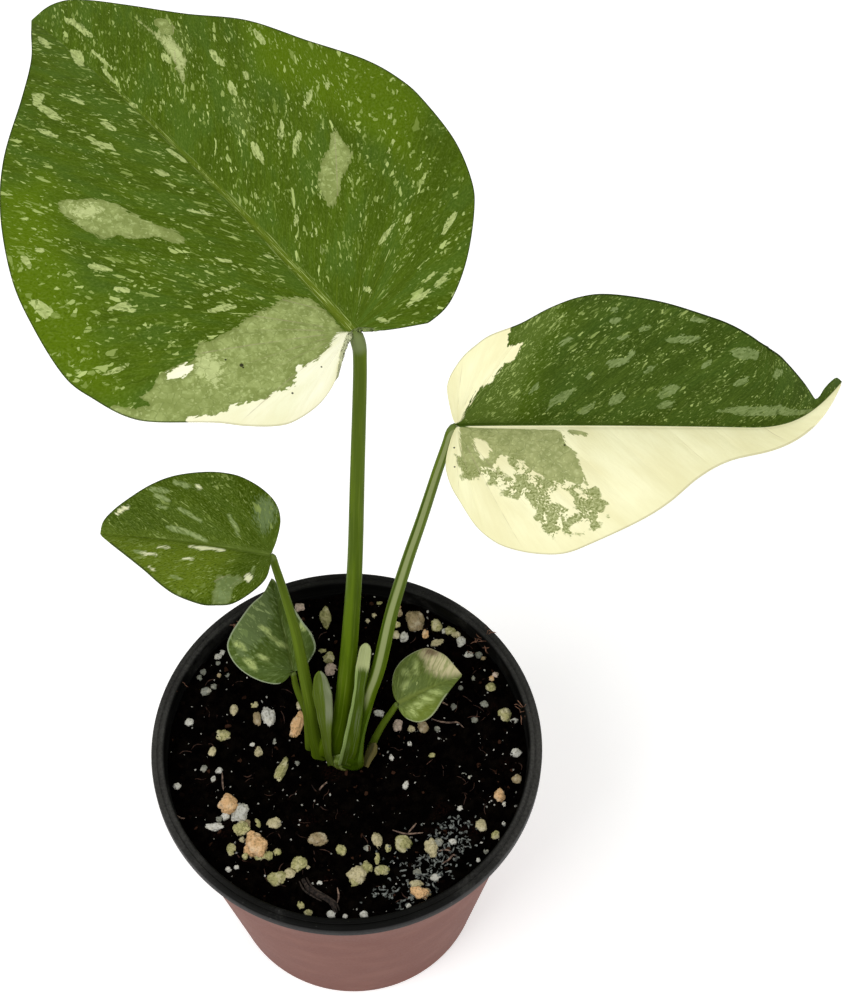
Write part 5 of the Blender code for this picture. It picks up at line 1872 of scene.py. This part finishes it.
@dataclass
class Pot:
    """The two-tone nursery pot with its rolled rim and drain holes."""

    steps: int = 192
    groove_radius: float = 48.3  # where the groove in the rim's top runs
    groove_depth: float = 0.35
    foot_width: float = 2.6
    pad_radius: float = 9.0
    hole_count: int = 8
    hole_radius: float = 3.4
    hole_circle: float = 21.0  # radius of the circle that the holes lie on
    drill_ends: tuple = (0.5, 5.0)  # heights between which the holes are cut
    outside: PlasticFinish = PlasticFinish("#754D44", "#7A5248", "#835D53", 0.25, 0.1, 0.02)
    # its last number greys the rim's crest with dust and a painted sheen
    inside: PlasticFinish = PlasticFinish("#070706", "#0D0D0C", "#4A4946", 0.3, 0.15, 0.06, 0.7)

    def profile(self) -> tuple:
        """Lays out the profile from the floor up the inside and down the outside.

        Returns:
            The points, and the material slot of each stretch: 0 outside, 1 inside.
        """
        floor_top, low = FOOT_LIFT + FLOOR, POT_HEIGHT - RIM_SKIRT
        inside = [(0.0, floor_top), (inner_wall_radius(floor_top) - 1.2, floor_top)]
        inside += [(inner_wall_radius(h), h) for h in (floor_top + 1.2, 30.0, 60.0, low - 1.0)]
        inside += arc((RIM_INNER_RADIUS + 0.8, POT_HEIGHT - 0.8), 0.8, 180.0, 90.0)
        for aside, sunk in ((-0.35, 0.0), (-0.12, 0.8), (0.0, 1.0), (0.12, 0.8), (0.35, 0.0)):
            inside.append((self.groove_radius + aside, POT_HEIGHT - self.groove_depth * sunk))
        inside += arc((RIM_RADIUS - 0.7, POT_HEIGHT - 0.7), 0.7, 90.0, 0.0)
        inside += arc((RIM_RADIUS - 0.35, low + 0.35), 0.35, 0.0, -90.0, 3)
        outside = [(WALL_TOP_RADIUS + 0.2, low), (WALL_TOP_RADIUS, low - 0.4)]
        for share in (0.25, 0.5, 0.75):
            radius = WALL_TOP_RADIUS + (BASE_RADIUS - WALL_TOP_RADIUS) * share
            outside.append((radius, low + (1.0 - low) * share))
        outside += arc((BASE_RADIUS - 0.8, 0.8), 0.8, 5.0, -90.0)
        foot, pad = BASE_RADIUS - self.foot_width, self.pad_radius
        outside += [(foot, 0.0), (foot - 0.5, 0.3), (foot - 0.8, FOOT_LIFT)]
        outside += [(pad + 0.8, FOOT_LIFT), (pad, 0.0), (0.0, 0.0)]
        return inside + outside, [1] * len(inside) + [0] * (len(outside) - 1)

    def build(self) -> list:
        """Makes the pot and cuts its drain holes.

        Returns:
            The finished object, as a list.
        """
        profile, slots = self.profile()
        mesh = turned("nursery_pot", profile, (0.0, 0.0), self.steps, slots)
        mesh.materials.append(self.outside.material("terracotta_plastic"))
        mesh.materials.append(self.inside.material("charcoal_plastic"))
        pot = new_object("nursery_pot", mesh)
        low, high = self.drill_ends
        drill = [(0.0, low), (self.hole_radius, low), (self.hole_radius, high), (0.0, high)]
        cutters = []
        for index in range(self.hole_count):
            angle = 2 * math.pi * (index + 0.5) / self.hole_count
            at = (self.hole_circle * math.cos(angle), self.hole_circle * math.sin(angle))
            cutters.append(new_object("drill_%d" % index, turned("drill", drill, at, 40, (0, 0, 0))))
            cut = pot.modifiers.new("hole_%d" % index, "BOOLEAN")
            cut.operation = "DIFFERENCE"
            cut.solver = "EXACT"
            cut.object = cutters[-1]
        pot = made_plain(pot)
        for cutter in cutters:
            bpy.data.objects.remove(cutter, do_unlink=True)
        return [hand_over(pot, "terracotta_plastic", "pot")]


def inner_wall_radius(height: float) -> float:
    """Radius of the pot's inner wall at a height."""
    part = (height - FLOOR) / (POT_HEIGHT - RIM_SKIRT - FLOOR)
    return BASE_RADIUS - WALL + (WALL_TOP_RADIUS - BASE_RADIUS) * part


def soil_height(x: float, y: float) -> float:
    """Height of the peat, without its grains.

    Args:
        x: place along X.
        y: place along Y.

    Returns:
        The height.
    """
    reach = math.hypot(x - CROWN_AT[0], y - CROWN_AT[1])
    ripple = 0.5 * math.sin(0.31 * x + 1.1) * math.cos(0.27 * y) + 0.3 * math.sin(0.83 * x - 0.6 * y)
    height = SOIL_LEVEL + ripple * float(smooth_step((reach - CALM_RADIUS) / 8.0))
    dish = float(smooth_step((math.hypot(x, y) - SOIL_DISH_RADIUS) / SOIL_DISH_WIDTH))
    return height + SOIL_EDGE_RISE * dish


def on_soil(x: float, y: float, rise: float) -> tuple:
    """Gives the place at a height above the peat."""
    return (x, y, soil_height(x, y) + rise)


class ScatterTree:
    """A node tree that strews rough little lumps over a surface."""

    def __init__(self, name: str, material: bpy.types.Material) -> None:
        """Builds the tree.

        Args:
            name: name of the tree.
            material: finish of the lumps.
        """
        self.tree = bpy.data.node_groups.new(name, "GeometryNodeTree")
        face = self.tree.interface
        face.new_socket("Geometry", in_out="INPUT", socket_type="NodeSocketGeometry")
        self.inputs = {}
        for label in ("Density", "Smallest", "Largest", "Flatness", "Seed"):
            kind = "NodeSocketInt" if label == "Seed" else "NodeSocketFloat"
            self.inputs[label] = face.new_socket(label, in_out="INPUT", socket_type=kind).identifier
        face.new_socket("Geometry", in_out="OUTPUT", socket_type="NodeSocketGeometry")
        self.wire(material)

    def node(self, kind: str, sources: dict, **settings: object) -> bpy.types.NodeOutputs:
        """Adds a node.

        Args:
            kind: Blender's name of the node.
            sources: what goes into each input, by its name or number.
            settings: the node's own settings.

        Returns:
            Its outputs.
        """
        node = self.tree.nodes.new(kind)
        for key, value in settings.items():
            setattr(node, key, value)
        for key, source in sources.items():
            if isinstance(source, bpy.types.NodeSocket):
                self.tree.links.new(source, node.inputs[key])
            else:
                node.inputs[key].default_value = source
        return node.outputs

    def wire(self, material: bpy.types.Material) -> None:
        """Joins the nodes.

        Args:
            material: finish of the lumps.
        """
        start = self.node("NodeGroupInput", {})
        seed, largest = start["Seed"], start["Largest"]
        ground = {"Mesh": start["Geometry"], "Density": start["Density"], "Seed": seed}
        strew = self.node("GeometryNodeDistributePointsOnFaces", ground, distribute_method="RANDOM")
        lump = self.node("GeometryNodeMeshUVSphere", {"Segments": 6, "Rings": 4, "Radius": 0.5})
        turned = {1: (6.28, 6.28, 6.28), "Seed": seed}
        turn = self.node("FunctionNodeRandomValue", turned, data_type="FLOAT_VECTOR")[0]
        size = self.node("FunctionNodeRandomValue", {2: start["Smallest"], 3: largest, "Seed": seed})[1]
        flat = self.node("ShaderNodeMath", {0: size, 1: start["Flatness"]}, operation="MULTIPLY")[0]
        scale = self.node("ShaderNodeCombineXYZ", {0: size, 1: flat, 2: flat})[0]
        lumps = {"Points": strew["Points"], "Instance": lump["Mesh"], "Rotation": turn, "Scale": scale}
        put = self.node("GeometryNodeInstanceOnPoints", lumps)
        tint = self.node("FunctionNodeRandomValue", {})[1]
        tinted = {"Geometry": put["Instances"], "Name": "tint", "Value": tint}
        keep = self.node("GeometryNodeStoreNamedAttribute", tinted, domain="INSTANCE")
        real = self.node("GeometryNodeRealizeInstances", {"Geometry": keep["Geometry"]})
        rough = self.node("ShaderNodeTexNoise", {"Scale": 900.0, "Detail": 1.0})["Color"]
        centred = self.node("ShaderNodeVectorMath", {0: rough, 1: (0.5, 0.5, 0.5)}, operation="SUBTRACT")[0]
        grown = self.node("ShaderNodeVectorMath", {0: centred, "Scale": largest}, operation="SCALE")[0]
        move = self.node("GeometryNodeSetPosition", {"Geometry": real["Geometry"], "Offset": grown})
        dress = self.node("GeometryNodeSetMaterial", {"Geometry": move["Geometry"], "Material": material})
        self.node("NodeGroupOutput", {"Geometry": dress["Geometry"]})

    def strew(self, name: str, ground: bpy.types.Mesh, **values: float) -> bpy.types.Object:
        """Strews lumps over a ground and makes them plain.

        Args:
            name: name of the piece.
            ground: mesh that they lie on.
            values: density per square metre, sizes in metres, flatness, and the seed that fixes the pattern.

        Returns:
            The piece.
        """
        item = new_object(name, ground.copy())
        modifier = item.modifiers.new("strew", "NODES")
        modifier.node_group = self.tree
        for label, value in values.items():
            modifier[self.inputs[label]] = value
        return made_plain(item)


@dataclass
class SoilBed:
    """The peat plug with crumbs, perlite, pumice grains, roots and coir."""

    rings: int = 92
    steps: int = 260
    edge_gap: float = 0.15  # gap to the wall
    grain_seed: int = 11
    strand_seed: int = 21
    splinters: int = 14
    fibres: int = 90

    def ground(self) -> bpy.types.Mesh:
        """Makes the rough top of the peat, open at its edge.

        Returns:
            The mesh.
        """
        edge = inner_wall_radius(SOIL_LEVEL + SOIL_EDGE_RISE) - self.edge_gap
        points, faces = [on_soil(0.0, 0.0, 0.0)], []
        for ring in range(1, self.rings + 1):
            radius = edge * ring / self.rings
            outer = 1 + (ring - 1) * self.steps
            for step in range(self.steps):
                angle = 2 * math.pi * (step + 0.5 * (ring % 2)) / self.steps
                points.append(self.rough_point(radius * math.cos(angle), radius * math.sin(angle)))
                after = (step + 1) % self.steps
                inner = [0] if ring == 1 else [outer - self.steps + step, outer - self.steps + after]
                faces.append((inner[0], outer + step, outer + after, *inner[1:]))
        return mesh_from("ground", points, faces)

    def rough_point(self, x: float, y: float) -> tuple:
        """Gives the peat's crumbly surface at a place.

        Args:
            x: place along X.
            y: place along Y.

        Returns:
            The point.
        """
        lump = noise.fractal(Vector((x, y, 3.0)) * 0.28, 0.7, 2.0, 4)
        crumb = abs(noise.noise(Vector((x, y, 7.0)) * 1.1))
        near = math.hypot(x - CROWN_AT[0], y - CROWN_AT[1])
        calm = 0.35 + 0.65 * float(smooth_step((near - 6.0) / 8.0))
        return on_soil(x, y, calm * (0.75 * lump - 0.7 * crumb + 0.2))

    def plug(self, ground: bpy.types.Mesh) -> bpy.types.Object:
        """Closes the peat with sides and an underside.

        Args:
            ground: its top.

        Returns:
            The finished object.
        """
        points = [tuple(v.co / MM) for v in ground.vertices]
        faces = [tuple(p.vertices) for p in ground.polygons]
        last = len(points) - self.steps
        under = len(points)
        low = FOOT_LIFT + FLOOR + 0.3
        foot = inner_wall_radius(low) - 1.6
        for step in range(self.steps):
            after = (step + 1) % self.steps
            angle = math.atan2(points[last + step][1], points[last + step][0])
            points.append((foot * math.cos(angle), foot * math.sin(angle), low))
            faces.append((last + step, under + step, under + after, last + after))
        faces.append(range(under, under + self.steps)[::-1])
        mesh = mesh_from("peat", points, faces)
        mesh.set_sharp_from_angle(angle=math.radians(70.0))
        mesh.materials.append(PeatFinish().material("peat_surface", False))
        return hand_over(new_object("peat", mesh), "soil", "soil")

    def lump(self, grain: tuple, stone: Stone, seeds: random.Random, target: bmesh.types.BMesh) -> None:
        """Adds one grain to a mesh.

        Args:
            grain: x, y, width, depth and lean of the grain.
            stone: its kind.
            seeds: random numbers.
            target: mesh that it joins.
        """
        x, y, width, depth, lean = (*grain, 0.0)[:5]
        tall = 0.72 * min(width, depth)
        fineness = 4 if width * depth > 9.0 else 3
        made = bmesh.ops.create_icosphere(target, subdivisions=fineness, radius=0.5 * MM)
        layers = target.verts.layers
        tint, algae, height = layers.float_color["tint"], layers.float["algae"], layers.float["height"]
        start = Vector((seeds.uniform(0, 90), seeds.uniform(0, 90), seeds.uniform(0, 90)))
        shade = seeds.uniform(0.88, 1.08)
        colour = [min(1.0, c * shade) for c in linear(stone.value)[:3]]
        pose = Matrix.Rotation(math.radians(lean + seeds.uniform(-12, 12)), 3, "Z")
        pose = pose @ Matrix.Rotation(seeds.uniform(-0.3, 0.3), 3, "X")
        for vertex in made["verts"]:
            ray = vertex.co.normalized()
            bulge = 1.0 + 0.34 * noise.noise(ray * 1.3 + start) - 0.3 * abs(noise.noise(ray * 2.9 + start))
            bulge += 0.1 * noise.noise(ray * 6.5 + start)
            place = pose @ Vector((ray.x * width, ray.y * depth, ray.z * tall)) * 0.54 * bulge
            vertex.co = (place + Vector(on_soil(x, y, tall * 0.22))) * MM
            vertex[tint] = (*colour, 1.0)
            vertex[algae] = 1.0 if stone is Stone.ALGAE else 0.25
            # height is 1 on top and 0 underneath; the finish paints shade by it
            vertex[height] = 0.5 + 0.5 * ray.z

    def grains(self) -> bpy.types.Object:
        """Makes the grains that the photo shows, each in its place.

        Returns:
            The finished object.
        """
        seeds = random.Random(self.grain_seed)
        target = bmesh.new()
        target.verts.layers.float_color.new("tint")
        target.verts.layers.float.new("algae")
        target.verts.layers.float.new("height")
        for stone, rows in GRAINS.items():
            for row in rows:
                self.lump(row, stone, seeds, target)
        mesh = bpy.data.meshes.new("pumice_grains")
        target.to_mesh(mesh)
        target.free()
        mesh.shade_smooth()
        mesh.materials.append(GrainFinish().material())
        return hand_over(new_object("pumice_grains", mesh), "soil")

    def strewn(self, ground: bpy.types.Mesh) -> list:
        """Strews peat crumbs and perlite dust over the surface.

        Args:
            ground: the peat's top.

        Returns:
            The two pieces.
        """
        crumbs = ScatterTree("peat_crumb_tree", PeatFinish().material("peat_crumbs", True)).strew(
            "peat_crumbs", ground, Seed=3, Density=4.2e5, Smallest=0.0005, Largest=0.0017, Flatness=0.65)
        perlite = ScatterTree("perlite_tree", FibreFinish("#6E6D66", "#BDBBB2").material("perlite")).strew(
            "perlite_dust", ground, Seed=8, Density=4.0e4, Smallest=0.0002, Largest=0.0008, Flatness=0.8)
        return [hand_over(crumbs, "soil"), hand_over(perlite, "soil")]

    def bundle(self, name: str, strands: Iterable, finish: FibreFinish) -> bpy.types.Object:
        """Makes one piece of several strands, each thickest in its middle.

        Args:
            name: name of the piece.
            strands: (waypoints, radius) of each.
            finish: their finish.

        Returns:
            The finished object.
        """
        curve = bpy.data.curves.new(name, "CURVE")
        curve.dimensions = "3D"
        curve.bevel_depth = MM
        curve.bevel_resolution = 1
        curve.use_fill_caps = True
        for points, radius in strands:
            line = rounded_line(points, 14)
            spline = curve.splines.new("POLY")
            spline.points.add(len(line) - 1)
            for index, place in enumerate(line):
                part = index / (len(line) - 1)
                spline.points[index].co = (*(float(c) * MM for c in place), 1.0)
                spline.points[index].radius = radius * (1.0 - 0.6 * abs(2.0 * part - 1.0) ** 2)
        curve.materials.append(finish.material(name + "_finish"))
        item = made_plain(new_object(name, curve))
        item.data.shade_smooth()
        return hand_over(item, "soil")

    def rootlet_strands(self, seeds: random.Random) -> list:
        """Lays the rootlets that the photo shows.

        Args:
            seeds: random numbers.

        Returns:
            Waypoints and radius of each.
        """
        rootlets = []
        for path in ROOTLETS:
            rootlets.append(([on_soil(x, y, 0.45 + seeds.uniform(-0.15, 0.3)) for x, y in path], 0.26))
        return rootlets

    def splinter_strands(self, seeds: random.Random) -> list:
        """Splits the piece of bark into splinters.

        Args:
            seeds: random numbers.

        Returns:
            Waypoints and radius of each.
        """
        splinters = []
        for _ in range(self.splinters):
            aside, rise = seeds.gauss(0, 0.55), seeds.uniform(0.2, 1.2)
            first, last = seeds.choice((0, 0, 1)), seeds.choice((4, 6, 6))
            points = []
            for x, y in BARK[first:last]:
                across = y + aside * 0.6 + seeds.uniform(-0.1, 0.1)
                points.append((x + aside, across, soil_height(x, y) + rise))
            splinters.append((points, seeds.uniform(0.25, 0.45)))
        return splinters

    def fibre_strands(self, seeds: random.Random) -> list:
        """Strews short fibres that wander over the peat.

        Args:
            seeds: random numbers.

        Returns:
            Waypoints and radius of each.
        """
        fibres = []
        for _ in range(self.fibres):
            reach = 8.0 + 36.0 * seeds.random() ** 0.6
            angle, turn = seeds.uniform(0, 6.28), seeds.uniform(0, 6.28)
            x, y, points = reach * math.cos(angle), reach * math.sin(angle), []
            for _ in range(4):
                points.append(on_soil(x, y, seeds.uniform(0.0, 0.7)))
                turn += seeds.uniform(-0.7, 0.7)
                x, y = x + 1.1 * math.cos(turn), y + 1.1 * math.sin(turn)
                pull = min(1.0, 45.0 / max(1.0, math.hypot(x, y)))
                x, y = x * pull, y * pull
            fibres.append((points, seeds.uniform(0.06, 0.16)))
        return fibres

    def crust_strands(self, seeds: random.Random) -> list:
        """Curls the threads of the pale crust.

        Args:
            seeds: random numbers.

        Returns:
            Waypoints and radius of each.
        """
        crust = []
        for x, y, spread in [row[:3] for row in CRUST for _ in range(row[3])]:
            at = (x + seeds.gauss(0, spread), y + seeds.gauss(0, spread * 0.6))
            pull = min(1.0, 44.5 / math.hypot(*at))
            stride, turn, points = seeds.choice((0.2, 0.25, 0.5)), seeds.uniform(0, 6.28), []
            for _ in range(4):
                spot = (at[0] * pull + stride * math.cos(turn), at[1] * pull + stride * math.sin(turn))
                points.append(on_soil(*spot, 0.35 + seeds.uniform(0.0, 0.5)))
                turn, stride = turn + seeds.uniform(-1.2, 1.2), stride * 1.5
            crust.append((points, seeds.uniform(0.12, 0.3)))
        return crust

    def coir_strands(self, seeds: random.Random) -> list:
        """Hangs tufts of coir on the rim.

        Args:
            seeds: random numbers.

        Returns:
            Waypoints and radius of each.
        """
        coir = []
        for x, y, spread in [row[:3] for row in COIR for _ in range(row[3])]:
            angle = seeds.uniform(0, 6.28)
            start = (x + seeds.gauss(0, spread), y + seeds.gauss(0, spread))
            points = [(*start, POT_HEIGHT - 1.2 + seeds.uniform(0, 1.2))]
            for _ in range(3):
                angle += seeds.uniform(-0.9, 0.9)
                before = points[-1]
                rise = min(POT_HEIGHT + 0.9, max(POT_HEIGHT - 2.0, before[2] + seeds.uniform(-0.5, 0.6)))
                points.append((before[0] + 0.8 * math.cos(angle), before[1] + 0.8 * math.sin(angle), rise))
            coir.append((points, seeds.uniform(0.07, 0.16)))
        return coir

    def build(self) -> list:
        """Makes the whole bed. The random numbers are drawn in the order of its strands.

        Returns:
            The finished objects.
        """
        ground, seeds = self.ground(), random.Random(self.strand_seed)
        pieces = [self.plug(ground), self.grains(), *self.strewn(ground)]
        for name, strands, dark, light in (
            ("rootlets", self.rootlet_strands, "#4A3A33", "#8C7464"),
            ("bark_splinters", self.splinter_strands, "#14100D", "#3A302A"),
            ("peat_fibres", self.fibre_strands, "#1E1410", "#4A3126"),
            ("pale_crust", self.crust_strands, "#2C2F2D", "#7C807B"),
            ("rim_coir", self.coir_strands, "#4E3528", "#8A6450"),
        ):
            pieces.append(self.bundle(name, strands(seeds), FibreFinish(dark, light)))
        return pieces


@dataclass
class Crown:
    """The short stem at the peat that the tall stalks grow from."""

    radius: float = 3.6
    top: float = 84.6
    shoulder: float = 3.2  # how far its round top reaches down
    foot: float = 72.3
    steps: int = 72

    def build(self) -> list:
        """Makes the crown, a little uneven all round.

        Returns:
            The finished object, as a list.
        """
        profile = [(0.0, self.top)]
        for turn in np.linspace(0.2, math.pi / 2, 10):
            profile.append((self.radius * math.sin(turn), self.top - self.shoulder * (1 - math.cos(turn))))
        for drop in np.linspace(0.3, 6.0, 14):
            radius = self.radius * (1.0 - 0.03 * math.sin(drop * 2.4))
            profile.append((radius, self.top - self.shoulder - drop))
        profile += [(self.radius, self.foot + 1.5), (self.radius - 1.4, self.foot), (0.0, self.foot)]
        mesh = turned("crown_stem", profile, CROWN_AT, self.steps, [0] * (len(profile) - 1))
        for vertex in mesh.vertices:
            place = vertex.co / MM
            swell = 1.0 + 0.05 * noise.noise(Vector((place.x * 0.5, place.y * 0.5, place.z * 0.15)))
            for axis, middle in enumerate(CROWN_AT):
                vertex.co[axis] = (middle + (place[axis] - middle) * swell) * MM
        mesh.materials.append(CrownFinish().material())
        return [hand_over(new_object("crown_stem", mesh), "crown", "crown")]


@dataclass
class Studio:
    """Pale floor, soft light and the photograph's camera."""

    camera_at: tuple = (0.01935, -0.24653, 0.62751)  # in metres
    pitch: float = 59.31  # how far it looks down from the horizon, in degrees
    lens: float = 82.8
    floor_size: float = 24.0  # side of the floor in metres
    floor_glow: float = 0.33
    daylight: float = 0.55

    def floor(self) -> None:
        """Lays the floor just under the pot."""
        half = self.floor_size / 2 / MM
        corners = [(-half, -half, -0.02), (half, -half, -0.02), (half, half, -0.02), (-half, half, -0.02)]
        graph = Graph("studio_floor", roughness=0.9, specular=0.1)
        cloud = graph.noise(graph.place(), 0.002, 2.0)
        mesh = mesh_from("floor", corners, [(0, 1, 2, 3)])
        graph.shader.inputs["Emission Color"].default_value = (1.0, 1.0, 1.0, 1.0)
        graph.shader.inputs["Emission Strength"].default_value = self.floor_glow
        mesh.materials.append(graph.finish(graph.blend(cloud, "#FAFAF9", "#FFFFFF")))
        new_object("floor", mesh)

    def lamp(self, name: str, at: tuple, size: float, power: float) -> None:
        """Hangs one soft lamp that looks at the plant.

        Args:
            name: name of the lamp.
            at: its place in metres.
            size: its side in metres.
            power: its power in watts.
        """
        light = bpy.data.lights.new(name, "AREA")
        light.size = size
        light.energy = power
        item = new_object(name, light)
        item.location = at
        item.rotation_euler = (Vector((0.0, 0.0, 0.12)) - Vector(at)).to_track_quat("-Z", "Y").to_euler()

    def build(self) -> None:
        """Sets up the floor, the lamps, the daylight and the camera."""
        scene = bpy.context.scene
        self.floor()
        self.lamp("key", (-0.7, -0.5, 1.3), 0.9, 11.0)
        self.lamp("fill", (0.9, -0.3, 1.1), 1.2, 4.0)
        world = bpy.data.worlds.new("studio")
        world.use_nodes = True
        background = world.node_tree.nodes["Background"]
        background.inputs["Color"].default_value = (1.0, 1.0, 1.0, 1.0)
        background.inputs["Strength"].default_value = self.daylight
        scene.world = world
        scene.view_settings.view_transform = "Standard"
        camera = bpy.data.cameras.new("photo_camera")
        camera.lens = self.lens
        camera.sensor_width = 36.0
        camera.sensor_fit = "AUTO"
        camera.clip_start = 0.02
        item = new_object("photo_camera", camera)
        item.location = self.camera_at
        item.rotation_euler = (math.radians(90.0 - self.pitch), 0.0, 0.0)
        scene.camera = item


def main() -> None:
    """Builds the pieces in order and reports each."""
    logging.basicConfig(level=logging.INFO, format="%(message)s")
    Studio().build()
    parts = [Pot(), SoilBed(), Crown()]
    parts += [Stalk(name, spec) for name, spec in STALKS.items()]
    parts += [Sheath(name, spec) for name, spec in SHEATHS.items()]
    parts += [LeafBlade(name, spec, FINISHES[name]) for name, spec in LEAVES.items()]
    for part in parts:
        for item in part.build():
            log.info("%s: %d triangles", item.name, sum(len(p.vertices) - 2 for p in item.data.polygons))


if __name__ == "__main__":
    main()
